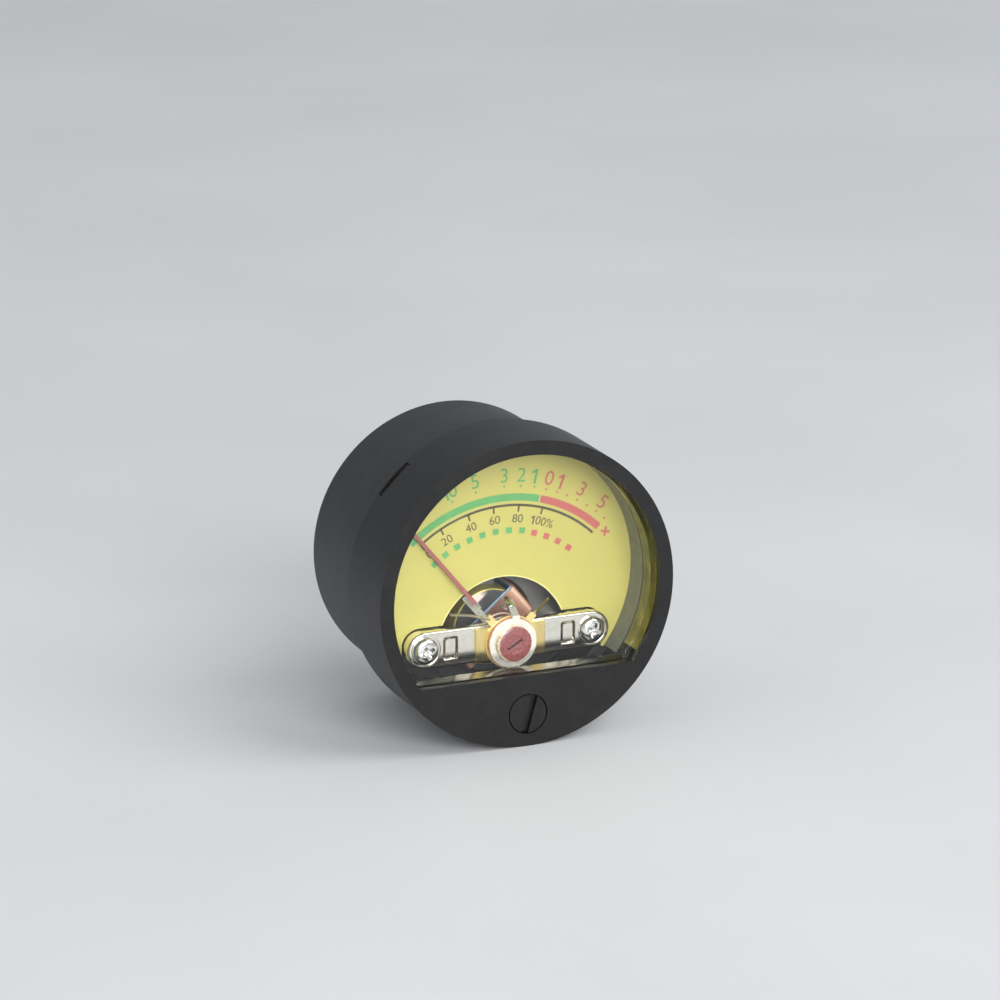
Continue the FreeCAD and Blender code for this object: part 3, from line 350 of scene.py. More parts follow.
wobble = round_zone.nodes.new("ShaderNodeTexNoise")
wobble.inputs["Scale"].default_value = 900
uneven = round_zone.nodes.new("ShaderNodeMath")
uneven.operation = "MULTIPLY_ADD"
edge = round_zone.nodes.new("ShaderNodeMapRange")
round_zone.links.new(entry.outputs["Aside"], centre.inputs["X"])
round_zone.links.new(entry.outputs["Level"], centre.inputs["Z"])
round_zone.links.new(place.outputs["Object"], away.inputs[0])
round_zone.links.new(centre.outputs["Vector"], away.inputs[1])
round_zone.links.new(away.outputs["Vector"], flat.inputs[0])
round_zone.links.new(flat.outputs["Vector"], reach.inputs[0])
round_zone.links.new(place.outputs["Object"], wobble.inputs["Vector"])
round_zone.links.new(wobble.outputs["Fac"], uneven.inputs[0])
round_zone.links.new(entry.outputs["Waver"], uneven.inputs[1])
round_zone.links.new(reach.outputs["Value"], uneven.inputs[2])
round_zone.links.new(uneven.outputs["Value"], edge.inputs["Value"])
round_zone.links.new(entry.outputs["Inner"], edge.inputs["From Min"])
round_zone.links.new(entry.outputs["Outer"], edge.inputs["From Max"])
round_zone.links.new(edge.outputs["Result"], exit_node.inputs["Amount"])


def lay_over(material, colour, amount):
    """Lay a second colour over a finish, as far as the amount says."""
    tree = material.node_tree
    base = tree.nodes["Principled BSDF"].inputs["Base Color"]
    over = tree.nodes.new("ShaderNodeMix")
    over.data_type = "RGBA"
    over.inputs["B"].default_value = (*colour, 1)
    tree.links.new(amount, over.inputs["Factor"])
    tree.links.new(base.links[0].from_socket, over.inputs["A"])
    tree.links.new(over.outputs["Result"], base)


def zoned(material, colour, inner, outer, aside=0.0, level=axis_z, waver=0.0):
    """Lay a second colour over a finish, none at the inner and all at the outer radius."""
    zone = material.node_tree.nodes.new("ShaderNodeGroup")
    zone.node_tree = round_zone
    for name, value in (("Aside", aside), ("Level", level), ("Inner", inner),
                        ("Outer", outer), ("Waver", waver)):
        zone.inputs[name].default_value = value * mm
    lay_over(material, colour, zone.outputs["Amount"])
    return zone.outputs["Amount"]


# Painted shade: the sill turns near black towards its ends, beyond 9.3 mm from the axis.
zoned(polished_sill, (0.03, 0.03, 0.025), 9.3, 11.0)
# Painted shadow: a black band inside the wall between its clear and matt parts, and the cover's
# lowest faces, stand for shade.
painted_shadow_line = finish("painted_shadow_line", (0.03, 0.03, 0.025), (0.02, 0.02, 0.018), (0.5, 0.6))
coats = (clear_plastic, matt_wall, painted_dial_reflection, polished_sill, painted_shadow_line)
for coat in coats[1:]:
    cover.data.materials.append(coat)
for face in cover.data.polygons:
    depth, height = face.center.y / mm, face.center.z / mm
    out = math.hypot(face.center.x, face.center.z) / mm
    inner_wall = height > wall_bottom_z and abs(out - hollow_radius) < 0.2
    coat = clear_plastic
    if inner_wall and depth > shadow_band_start:
        coat = matt_wall if depth > shadow_band_end else painted_shadow_line
    elif depth > plate_back + 0.2 and out > inside_radius - 0.15:
        coat = painted_dial_reflection if height > -11.4 else painted_shadow_line
    elif plate_back + 0.2 < depth < 4.6 and abs(height - sill_z) < 0.1:
        coat = polished_sill
    elif height < -13.4 or (height < -12.4 and depth > 4.6):
        coat = painted_shadow_line
    face.material_index = coats.index(coat)

# Dial plate. A stamped sheet painted yellow, with an arch and a flat slot cut out of its lower
# edge for the movement; the scale is printed on it in black, green and red ink.
arch_z = -10.001
bar_reach = 12.9
dial = flat_below(turn("dial_sheet", [(inside_radius, dial_y), (inside_radius, 9.4)],
                       sides=180), -12.4)
joined(dial, turn("arch", [(10.0, 8), (10.0, 10)], sides=120, z=arch_z))


def pull(piece, chosen, value=(0, 0, 0), grow=None, about=(0, 0, 0)):
    """Move, or grow about a point, those of a piece's corners that pass the test."""
    bpy.ops.object.select_all(action="DESELECT")
    bpy.context.view_layer.objects.active = piece
    piece.select_set(True)
    bpy.ops.object.mode_set(mode="EDIT")
    bpy.ops.mesh.select_mode(type="VERT")
    bpy.ops.mesh.select_all(action="DESELECT")
    shape = bmesh.from_edit_mesh(piece.data)
    for corner in shape.verts:
        corner.select_set(chosen(corner.co.x / mm, corner.co.y / mm, corner.co.z / mm))
    shape.select_flush_mode()
    bmesh.update_edit_mesh(piece.data)
    if grow:
        bpy.ops.transform.resize(value=grow, center_override=[part * mm for part in about])
    else:
        bpy.ops.transform.translate(value=[part * mm for part in value])
    bpy.ops.object.mode_set(mode="OBJECT")
    return piece


def stadium(name, reach, radius, start, end, z, sides=64):
    """Flat bar with round ends: a turned bar pulled apart to both sides."""
    piece = turn(name, [(radius, start), (radius, end)], sides=sides, z=z)
    pull(piece, lambda x, y, z: x > 0.01, (reach, 0, 0))
    return pull(piece, lambda x, y, z: x < -0.01, (-reach, 0, 0))


joined(dial, stadium("slot", bar_reach, 2.6, 8, 10, axis_z))
joined(dial, block("slot_mouth", (-15.5, 8, -13), (15.5, 10, axis_z)))
soften(dial, 0.08, segments=2)
dial_yellow = finish("dial_yellow_paint", (0.385, 0.355, 0.088), (0.37, 0.34, 0.084), (0.42, 0.5),
                     mottle=300, grain=16000, relief=0.12, depth=0.01)
mount(dial, "housing", "dial_yellow", dial_yellow, "dial_plate")
# Painted highlight: a lighter yellow along the arch's cut edge.
zoned(dial_yellow, (0.64, 0.61, 0.25), 10.2, 10.14, level=arch_z)

scale_z = -9.8
print_y = 8.885
stroke_lift = 0.006


def ink(name, colour):
    """Printing ink, a little uneven in shade."""
    return finish(name, colour, [0.93 * part for part in colour], (0.5, 0.58), mottle=900,
                  grain=15000, relief=0.1, depth=0.005)


def arc_band(name, inner, outer, start, end, steps=60):
    """Printed band between two radii and two angles about the scale's centre."""
    bpy.ops.object.select_all(action="DESELECT")
    middle = scale_z + (inner + outer) / 2
    bpy.ops.mesh.primitive_plane_add(size=1, location=(0, print_y * mm, middle * mm),
                                     rotation=(math.pi / 2, 0, 0))
    bpy.ops.transform.resize(value=(0.1 * mm, 1, (outer - inner) * mm))
    band = bpy.context.object
    band.name = name
    bpy.ops.object.transform_apply(location=True, rotation=True, scale=True)
    bpy.ops.object.mode_set(mode="EDIT")
    shape = bmesh.from_edit_mesh(band.data)
    for corner in shape.verts:
        corner.select_set(corner.co.x > 0)
    shape.select_flush(False)
    bmesh.update_edit_mesh(band.data)
    bpy.ops.mesh.delete(type="VERT")
    shape = bmesh.from_edit_mesh(band.data)
    for corner in shape.verts:
        corner.co.x = 0
    bmesh.update_edit_mesh(band.data)
    bpy.ops.mesh.select_all(action="SELECT")
    bpy.ops.mesh.spin(steps=steps, angle=math.radians(end - start),
                      center=(0, print_y * mm, scale_z * mm), axis=(0, -1, 0))
    bpy.ops.object.mode_set(mode="OBJECT")
    turn_about(band, start, (0, scale_z))
    return band


def mark(name, width, height, radius, angle):
    """Printed rectangle that stands on the scale at an angle."""
    bpy.ops.object.select_all(action="DESELECT")
    bpy.ops.mesh.primitive_plane_add(
        size=1, location=(0, print_y * mm, (scale_z + radius) * mm),
        rotation=(math.pi / 2, 0, 0))
    bpy.ops.transform.resize(value=(width * mm, 1, height * mm))
    piece = bpy.context.object
    piece.name = name
    bpy.ops.object.transform_apply(location=True, rotation=True, scale=True)
    turn_about(piece, angle, (0, scale_z))
    return piece


def dot(name, radius, out, angle):
    """Printed round dot."""
    bpy.ops.object.select_all(action="DESELECT")
    bpy.ops.mesh.primitive_circle_add(vertices=16, radius=radius * mm, fill_type="NGON",
                                      location=(0, print_y * mm, (scale_z + out) * mm),
                                      rotation=(math.pi / 2, 0, 0))
    piece = bpy.context.object
    piece.name = name
    bpy.ops.object.transform_apply(location=True, rotation=True, scale=True)
    turn_about(piece, angle, (0, scale_z))
    return piece


def figure(text, size, radius, angle):
    """Printed figure, centred on the scale at an angle."""
    bpy.ops.object.select_all(action="DESELECT")
    bpy.ops.object.text_add()
    piece = bpy.context.object
    piece.name = "figure"
    piece.data.body = text
    piece.data.align_x = "CENTER"
    piece.data.align_y = "CENTER"
    piece.data.size = size * mm
    bpy.ops.object.convert(target="MESH")
    piece = bpy.context.object
    piece.data.transform(Matrix.Translation((0, print_y * mm, (scale_z + radius) * mm))
                         @ Matrix.Rotation(math.pi / 2, 4, "X"))
    turn_about(piece, angle, (0, scale_z))
    return piece


def figure_one(size, radius, angle):
    """Printed figure 1: an upright stroke with a flag, which lies a hair above it."""
    stroke = mark("stroke", 0.12 * size, 0.72 * size, radius, 0)
    flag = mark("flag", 0.11 * size, 0.30 * size, radius + 0.255 * size, 0)
    turn_about(flag, 52, (0, scale_z + radius + 0.255 * size))
    for piece, shift, rise in ((stroke, 0.05 * size, 0), (flag, -0.05 * size, stroke_lift)):
        piece.data.transform(Matrix.Translation((shift * mm, -rise * mm, 0)))
        turn_about(piece, angle, (0, scale_z))
    return [stroke, flag]


def as_one(pieces, name):
    """Join pieces into the first of them and name it."""
    bpy.ops.object.select_all(action="DESELECT")
    for piece in pieces:
        piece.select_set(True)
    bpy.context.view_layer.objects.active = pieces[0]
    bpy.ops.object.join()
    pieces[0].name = name
    return pieces[0]


def printed(name, marks, material):
    """Join marks of one ink into one thin print."""
    piece = as_one(marks, name)
    piece.data.name = name
    bpy.ops.object.mode_set(mode="EDIT")
    bpy.ops.mesh.select_all(action="SELECT")
    bpy.ops.mesh.remove_doubles(threshold=0.0005 * mm)
    bpy.ops.mesh.normals_make_consistent(inside=False)
    bpy.ops.object.mode_set(mode="OBJECT")
    for face in piece.data.polygons:
        if face.normal.y > 0:
            face.flip()
    mount(piece, "housing", "dial_yellow", material)


small, small_out = 1.75, 18.3
black_marks = [arc_band("scale_line", 20.17, 20.53, -38.1, 43.7)]
for angle in (-38.1, -27.9, -15.1, -3.9, 7.2, 17.8):
    black_marks.append(mark("tick", 0.27, 1.0, 19.85, angle))
for text, angle in (("0", -37.8), ("20", -27.7), ("40", -15.3), ("60", -3.8), ("80", 7.3),
                    ("00%", 20.7)):
    black_marks.append(figure(text, small, small_out, angle))
black_marks += figure_one(small, small_out, 14.9)
printed("black_print", black_marks, ink("black_ink", (0.048, 0.044, 0.022)))

large, green_out = 3.0, 24.65
band_inner, band_outer = 20.98, 22.06
dot_radius = 0.17
square_width, square_height, square_step = 0.92, 0.88, 7.05
green_marks = [arc_band("green_band", band_inner, band_outer, -41, 15.2)]
for text, angle in (("0", -18.2), ("5", -9.9), ("3", 0.6), ("2", 6.8)):
    green_marks.append(figure(text, large, green_out, angle))
green_marks += figure_one(large, green_out, 11.7) + figure_one(large, green_out, -20.9)
for angle in (-19.5, -10.2, 0.6, 7.0, 12.3):
    green_marks.append(dot("dot", dot_radius, 23.15, angle))
for step in range(8):
    green_marks.append(mark("square", square_width, square_height, 16.63,
                            -38.9 + square_step * step))
printed("green_print", green_marks, ink("green_ink", (0.082, 0.285, 0.085)))

red_out = 24.6
red_marks = [arc_band("red_band", band_inner, band_outer, 15.8, 43.9)]
for text, angle in (("0", 17.1), ("3", 30.0), ("5", 39.2)):
    red_marks.append(figure(text, large, red_out, angle))
red_marks += figure_one(large, red_out, 21.6)
for angle in (17.05, 21.5, 25.8, 30.2, 34.8, 39.2, 43.6):
    red_marks.append(dot("dot", dot_radius, 23.02, angle))
for step in range(4):
    red_marks.append(mark("square", square_width, square_height, 16.5,
                          17.3 + square_step * step))
plus_out, plus_angle = 21.75, 47.5
plus_x = plus_out * math.sin(math.radians(plus_angle))
plus_z = scale_z + plus_out * math.cos(math.radians(plus_angle))
for turned, rise in ((-37, 0), (53, stroke_lift)):
    bar = mark("plus", 0.36, 1.45, plus_out, plus_angle)
    turn_about(bar, turned, (plus_x, plus_z))
    bar.data.transform(Matrix.Translation((0, -rise * mm, 0)))
    red_marks.append(bar)
printed("red_print", red_marks, ink("red_ink", (0.38, 0.09, 0.08)))

# Rear case. A black moulded can that closes the bezel from behind; its rim enters the skirt,
# its collar stops against it, and its snaps catch in the skirt's windows.
case_radius, case_back = 20.6, 30.2
stud_x, stud_z = 10.0, -2.0
pin_reach, boss_reach = 15.9, 16.2
case = turn("case_can", [(case_radius, case_back), (case_radius, 12.8), (22.2, 12.8),
                         (22.2, skirt_end), (inside_radius, skirt_end), (inside_radius, 9.4),
                         (19.2, 9.4), (19.2, 28.6)], sides=180)
bpy.ops.object.mode_set(mode="EDIT")
bpy.ops.mesh.select_mode(type="EDGE")
bpy.ops.mesh.select_all(action="DESELECT")
shape = bmesh.from_edit_mesh(case.data)
for edge in shape.edges:
    edge.select_set(all(corner.co.y > (case_back - 0.01) * mm for corner in edge.verts))
bmesh.update_edit_mesh(case.data)
bpy.ops.mesh.bevel(offset=0.8 * mm, segments=5)
bpy.ops.object.mode_set(mode="OBJECT")
for side in (-1, 1):
    joined(case, turn("stud_hole", [(1.6, 28), (1.6, 31)], sides=48, x=side * stud_x, z=stud_z))
    pin_x = side * pin_reach * math.sin(math.radians(33))
    pin_z = pin_reach * math.cos(math.radians(33))
    joined(case, turn("pin_hole", [(0.5, 28), (0.5, 31)], sides=24, x=pin_x, z=pin_z))
for quarter in range(4):
    joined(case, block("snap", (-2.9, 9.8, 20.5), (2.9, 10.8, 22.1), 45 + 90 * quarter), "UNION")
for angle in (0.0, 99.96, -99.96):
    boss_x = boss_reach * math.sin(math.radians(angle))
    boss_z = boss_reach * math.cos(math.radians(angle))
    joined(case, turn("boss", [(2.2, 17.6), (2.2, 29)], sides=40, x=boss_x, z=boss_z), "UNION")
    joined(case, turn("boss_bore", [(0.95, 17), (0.95, 23.6)], sides=24, x=boss_x, z=boss_z))
soften(case, 0.12)
case_plastic = finish("black_moulding", (0.02, 0.02, 0.021), (0.014, 0.014, 0.015), (0.42, 0.55),
                      mottle=350, grain=7000, relief=0.4, depth=0.02)
mount(case, "housing", "black_moulding", case_plastic, "rear_case")

# Magnet system behind the dial: a grey chassis plate held by three screws, the soft iron yoke,
# both darkened with painted shade towards their lower edge under the bridge, and the core magnet
# in its two cast holders, with a bright patch of painted reflection on its face and a painted
# reflection of the dial's yellow round its rim.
far_above, dark_from, dark_by = 100, -10.6, -11.6


def painted_shade_below(material, colour):
    """Paint shade on a finish below the bridge: a round zone about a line so far up that it is
    level.
    """
    zoned(material, colour, far_above - dark_from, far_above - dark_by, level=far_above)


chassis_grey = finish("dark_grey_plastic", (0.14, 0.14, 0.14), (0.12, 0.12, 0.122), (0.5, 0.6),
                      mottle=400, grain=9000, relief=0.2)
painted_shade_below(chassis_grey, (0.02, 0.02, 0.02))
dress("chassis", chassis_grey, 0.1)
zinc = finish("zinc_plated_steel", (0.62, 0.63, 0.66), (0.5, 0.51, 0.55), (0.22, 0.36), 1.0,
              mottle=2500)
dress("chassis_screws", zinc, 0.06)
iron = finish("painted_iron", (0.14, 0.138, 0.135), (0.12, 0.119, 0.118), (0.5, 0.6), mottle=600,
              grain=9000, relief=0.2)
painted_shade_below(iron, (0.03, 0.03, 0.03))
dress("yoke_ring", iron, 0.08)


def from_coil(tree):
    """Places on a piece seen from the movement's axis, with X along the coil's front."""
    place = tree.nodes.new("ShaderNodeTexCoord")
    centred = tree.nodes.new("ShaderNodeMapping")
    centred.inputs["Location"].default_value = (0, 0, -axis_z * mm)
    swung = tree.nodes.new("ShaderNodeMapping")
    swung.inputs["Rotation"].default_value = (0, math.radians(39.4), 0)
    tree.links.new(place.outputs["Object"], centred.inputs["Vector"])
    tree.links.new(centred.outputs["Vector"], swung.inputs["Vector"])
    split = tree.nodes.new("ShaderNodeSeparateXYZ")
    tree.links.new(swung.outputs["Vector"], split.inputs["Vector"])
    return swung.outputs["Vector"], split.outputs


magnet = finish("magnet_alloy", (0.115, 0.115, 0.12), (0.085, 0.085, 0.09), (0.3, 0.42), 0.6,
                mottle=900, relief=0.15)
tree = magnet.node_tree
_, parts = from_coil(tree)
# Painted reflection: the patch below is lighter and less metallic, standing for a bright
# reflection on the core's face.
painted_reflection_patch = None
for axis, start, full in (("Z", 4.05, 4.35), ("X", -0.35, -0.15), ("X", 3.1, 1.9)):
    edge = tree.nodes.new("ShaderNodeMapRange")
    edge.inputs["From Min"].default_value = start * mm
    edge.inputs["From Max"].default_value = full * mm
    tree.links.new(parts[axis], edge.inputs["Value"])
    if painted_reflection_patch:
        both = tree.nodes.new("ShaderNodeMath")
        both.operation = "MULTIPLY"
        tree.links.new(painted_reflection_patch, both.inputs[0])
        tree.links.new(edge.outputs["Result"], both.inputs[1])
        painted_reflection_patch = both.outputs["Value"]
    else:
        painted_reflection_patch = edge.outputs["Result"]
lay_over(magnet, (0.80, 0.70, 0.63), painted_reflection_patch)
bare = tree.nodes.new("ShaderNodeMapRange")
bare.inputs["To Min"].default_value = 0.6
bare.inputs["To Max"].default_value = 0.15
tree.links.new(painted_reflection_patch, bare.inputs["Value"])
tree.links.new(bare.outputs["Result"], tree.nodes["Principled BSDF"].inputs["Metallic"])
# Painted reflection of the dial's yellow: an olive-gold ring round the core's rim.
zoned(magnet, (0.58, 0.50, 0.12), 5.48, 5.54)
dress("core_magnet", magnet)
dull_zinc = finish("dull_zinc", (0.15, 0.15, 0.155), (0.12, 0.12, 0.125), (0.4, 0.55), 0.3)
dress("core_holders", dull_zinc, 0.05)

# Front bridge. A nickel-plated bar with round ends and a softly rounded front edge, dished for
# two screws and slotted for the pegs of its two posts, which are staked over.
nickel = finish("bright_nickel", (0.92, 0.89, 0.79), (0.85, 0.82, 0.72), (0.06, 0.14), 1.0,
                mottle=1800, grain=5200, relief=0.3, depth=0.015)
peg_reach = 9.1
peg_half_width, peg_half_height = 1.0, 1.6
bridge = stadium("bridge_bar", bar_reach, 2.75, 6.3, 7.6, axis_z)
soften(bridge, 0.42, segments=4)
joined(bridge, turn("neck_hole", [(2.0, 6), (2.0, 8)], sides=64, z=axis_z))
for side in (-1, 1):
    screw_x, peg_x = side * bar_reach, side * peg_reach
    joined(bridge, turn("dish", [(2.3, 6), (2.3, 6.65)], sides=64, x=screw_x, z=axis_z))
    joined(bridge, turn("screw_hole", [(1.05, 6), (1.05, 8)], sides=40, x=screw_x, z=axis_z))
    slot_left, slot_right = peg_x - peg_half_width, peg_x + peg_half_width
    slot_bottom, slot_top = axis_z - peg_half_height, axis_z + peg_half_height
    slot_cutter = block("peg_slot", (slot_left, 6, slot_bottom), (slot_right, 8, slot_top))
    joined(bridge, soften(slot_cutter, 0.3, segments=3))
    mouth = block("slot_mouth", (slot_left, 5.9, slot_bottom), (slot_right, 6.6, slot_top))
    pull(mouth, lambda x, y, z: y < 6, grow=(1.35, 1, 1.22), about=(peg_x, 5.9, axis_z))
    joined(bridge, soften(mouth, 0.3, segments=3))
soften(bridge, 0.06, segments=2, angle=50)
mount(bridge, "housing", "nickel", nickel, "front_bridge")
dress("bridge_posts", nickel, 0.3, segments=3)

# Bridge screws. Two zinc-plated pan-head screws with a cross recess; they hold the bridge on its
# posts, their heads sunk in its dishes.
screws = []
for side in (-1, 1):
    screw_x, cross_turn = side * bar_reach, side * 20
    screw = turn("screw", [(0.35, 5.55), (0.9, 5.57), (1.4, 5.66), (1.72, 5.82), (1.9, 6.1),
                           (1.95, 6.35), (1.95, 6.65), (0.9, 6.65), (0.9, 12.05)],
                 sides=48, x=screw_x, z=axis_z)
    for arm_turn in (0, 90):
        wing = block("wing", (screw_x - 0.36, 5.2, axis_z - 1.5),
                     (screw_x + 0.36, 6.25, axis_z + 1.5))
        pull(wing, lambda x, y, z: y > 6, grow=(0.5, 1, 0.4), about=(screw_x, 6.25, axis_z))
        turn_about(wing, arm_turn + cross_turn, (screw_x, axis_z))
        joined(screw, wing)
    heart = turn("heart", [(0.8, 5.2), (0.3, 6.3)], sides=4, x=screw_x, z=axis_z)
    turn_about(heart, cross_turn, (screw_x, axis_z))
    joined(screw, heart)
    screws.append(soften(screw, 0.04, segments=2, angle=32))
screw_pair = as_one(screws, "bridge_screw_pair")
bright_zinc = finish("bright_zinc", (0.92, 0.92, 0.90), (0.80, 0.80, 0.78), (0.08, 0.18), 1.0,
                     mottle=1200, grain=4000, relief=0.15)
mount(screw_pair, "housing", "zinc_steel", bright_zinc, "bridge_screws")

# Stack on the bridge. A brass backing plate, a brass ring with two arms and a fibre washer lie
# between the bridge and the zero lever, round the neck of the nut.
brass = finish("clean_brass", (0.95, 0.76, 0.32), (0.91, 0.71, 0.28), (0.12, 0.2), 1.0, mottle=700,
               grain=5000, relief=0.08)
dress("backing_plate", brass, 0.06)
aged_brass = finish("aged_brass", (0.95, 0.78, 0.34), (0.90, 0.70, 0.28), (0.15, 0.25), 0.8,
                    mottle=1200, grain=5000, relief=0.1)
zoned(aged_brass, (0.24, 0.21, 0.05), 5.35, 5.9)
dress("stop_arms", aged_brass, 0.04)
dress("fibre_washer", finish("brown_fibre", (0.36, 0.15, 0.07), (0.26, 0.10, 0.045), (0.35, 0.5),
                             mottle=4000, grain=12000, relief=0.3), 0.04)

# Zero lever. A polished ring round the nut's neck with a tab that is bent back to the hairspring
# and soldered to it; its forked arm reaches down to the zero screw's pin.
polished_nickel = finish("polished_nickel", (0.93, 0.90, 0.79), (0.89, 0.86, 0.75), (0.1, 0.18),
                         0.75, mottle=900, grain=4000, relief=0.08)
dress("zero_lever", polished_nickel, 0.05)
solder = finish("solder", (0.62, 0.64, 0.50), (0.34, 0.36, 0.26), (0.1, 0.2), 1.0, mottle=1500)
bpy.ops.object.select_all(action="DESELECT")
solder_place = (0.4, 6.9, -3.75)
bpy.ops.mesh.primitive_ico_sphere_add(subdivisions=4, radius=0.5 * mm,
                                      location=[part * mm for part in solder_place])
drop = bpy.context.object
drop.name = "solder_drop"
bpy.ops.object.transform_apply(location=True, rotation=True, scale=True)
pull(drop, lambda x, y, z: True, grow=(1.15, 1.2, 2.3), about=solder_place)
pull(drop, lambda x, y, z: z > -3.4, (-0.1, 0.75, 0))
pull(drop, lambda x, y, z: z > -3.0, (-0.1, 0.35, 0))
pull(drop, lambda x, y, z: z < -4.2, (0, -0.35, 0))
bpy.ops.object.modifier_add(type="SMOOTH")
drop.modifiers[-1].iterations = 6
bpy.ops.object.modifier_apply(modifier=drop.modifiers[-1].name)
soften(drop, 0, angle=180)
mount(drop, "zero_lever_body", "tinned_copper", solder)

# Jewel nut and screw. The round nut clamps the stack and is locked with red lacquer, which has
# worn to bare brass round its edge; the slotted screw in it holds the jewel, its slot painted near
# black as shade.
lacquer_back = 4.42


def lacquered(name, bare_metal_and_slot_shade, bare_metal, worn_radius):
    """Red lacquer over a second colour, which shows behind the front and where the edge has worn:
    bare metal on the nut, painted shade in the screw's slot.
    """
    material = finish(name, (0.185, 0.042, 0.038), (0.15, 0.032, 0.03), (0.24, 0.32), mottle=500,
                      grain=2500, relief=0.1, depth=0.01)
    tree = material.node_tree
    shader = tree.nodes["Principled BSDF"]
    shader.inputs["IOR"].default_value = 1.8
    worn = zoned(material, bare_metal_and_slot_shade, worn_radius, worn_radius + 0.03, aside=0.2, level=-8.72,
                 waver=0.25)
    place = tree.nodes.new("ShaderNodeTexCoord")
    split = tree.nodes.new("ShaderNodeSeparateXYZ")
    tree.links.new(place.outputs["Object"], split.inputs["Vector"])
    behind = tree.nodes.new("ShaderNodeMapRange")
    behind.inputs["From Min"].default_value = lacquer_back * mm
    behind.inputs["From Max"].default_value = (lacquer_back + 0.05) * mm
    tree.links.new(split.outputs["Y"], behind.inputs["Value"])
    lay_over(material, bare_metal_and_slot_shade, behind.outputs["Result"])
    bare = tree.nodes.new("ShaderNodeMath")
    bare.operation = "MAXIMUM"
    tree.links.new(worn, bare.inputs[0])
    tree.links.new(behind.outputs["Result"], bare.inputs[1])
    metal = tree.nodes.new("ShaderNodeMath")
    metal.operation = "MULTIPLY"
    metal.inputs[1].default_value = bare_metal
    tree.links.new(bare.outputs["Value"], metal.inputs[0])
    tree.links.new(metal.outputs["Value"], shader.inputs["Metallic"])
    return material


nut = turn("jewel_nut", [(1.25, 7.6), (2.0, 7.6), (2.0, 4.92), (2.65, 4.92), (2.65, 4.45),
                         (2.5, 4.34), (2.1, 4.26), (1.7, 4.22), (1.25, 4.2), (1.25, 7.6)],
           sides=96, z=axis_z, ring=True)
soften(nut, 0.08)
nut_lacquer = lacquered("red_lacquer", (0.60, 0.49, 0.32), 0.3, 2.72)
mount(nut, "housing", "red_lacquer", nut_lacquer, "front_jewel_nut")
jewel_screw = turn("jewel_screw", [(1.24, 4.3), (1.24, 7.6), (0.9, 7.6), (0.9, 6.5)], sides=64,
                   z=axis_z)
driver_slot = block("driver_slot", (-3, 4.0, axis_z - 0.175), (3, 4.8, axis_z + 0.175), -31,
                    (0, axis_z))
joined(jewel_screw, driver_slot)
soften(jewel_screw, 0.07)
# Painted shade: behind the lacquered front the screw is coloured near black, darkening its slot.
screw_lacquer_and_slot_shade = lacquered("lacquered_screw_slot_shade", (0.05, 0.02, 0.018), 0.0, 9.0)
mount(jewel_screw, "housing", "red_lacquer", screw_lacquer_and_slot_shade, "front_jewel_screw")
ruby = finish("ruby", (0.5, 0.02, 0.06), (0.4, 0.015, 0.05), (0.05, 0.1), mottle=3000)
dress("front_jewel", ruby)
tinned = finish("tinned_wire", (0.75, 0.74, 0.72), (0.62, 0.61, 0.59), (0.15, 0.28), 1.0,
                mottle=3000)
dress("front_lead", finish("bare_lead", (0.42, 0.38, 0.25), (0.34, 0.30, 0.19), (0.25, 0.35),
                           0.6, mottle=1500))

# Moving coil. Fine enamelled copper wire wound flat on a thin aluminium former, with brass hubs
# and steel pivots cemented to its two ends.
copper = finish("wound_copper", (1, 1, 1), (0.86, 0.84, 0.83), (0.32, 0.42), 0.15, mottle=1600,
                grain=5000, relief=0.2, depth=0.02)
tree = copper.node_tree
shader = tree.nodes["Principled BSDF"]
seen_from_coil, parts = from_coil(tree)
outwards = tree.nodes.new("ShaderNodeMath")
outwards.operation = "ABSOLUTE"
tree.links.new(parts["X"], outwards.inputs[0])
share = tree.nodes.new("ShaderNodeMapRange")
share.inputs["From Max"].default_value = 6.5 * mm
tree.links.new(outwards.outputs["Value"], share.inputs["Value"])
# Painted light: the coil's front is darkened towards its middle as painted shade and carries a
# painted highlight near its rounded ends, then turns dark orange at the edge.
coil_painted_light = tree.nodes.new("ShaderNodeValToRGB")
coil_painted_light.color_ramp.elements[0].position = 0.15
coil_painted_light.color_ramp.elements[0].color = (0.18, 0.09, 0.07, 1)
coil_painted_light.color_ramp.elements[1].position = 0.99
coil_painted_light.color_ramp.elements[1].color = (0.42, 0.10, 0.02, 1)
for position, colour in ((0.5, (0.26, 0.125, 0.085)), (0.75, (0.38, 0.19, 0.12)),
                         (0.86, (0.52, 0.30, 0.20)), (0.91, (0.78, 0.56, 0.43)),
                         (0.94, (0.76, 0.52, 0.38)), (0.97, (0.55, 0.22, 0.09))):
    stop = coil_painted_light.color_ramp.elements.new(position)
    stop.color = (*colour, 1)
tree.links.new(share.outputs["Result"], coil_painted_light.inputs["Fac"])
deepened = tree.nodes.new("ShaderNodeMix")
deepened.data_type = "RGBA"
deepened.blend_type = "MULTIPLY"
deepened.inputs["Factor"].default_value = 1
tree.links.new(coil_painted_light.outputs["Color"], deepened.inputs["A"])
tree.links.new(shader.inputs["Base Color"].links[0].from_socket, deepened.inputs["B"])
tree.links.new(deepened.outputs["Result"], shader.inputs["Base Color"])
turns = tree.nodes.new("ShaderNodeTexWave")
turns.bands_direction = "Z"
turns.inputs["Scale"].default_value = 2600
turns.inputs["Distortion"].default_value = 0.6
tree.links.new(seen_from_coil, turns.inputs["Vector"])
tree.links.new(turns.outputs["Fac"], tree.nodes["Bump"].inputs["Height"])
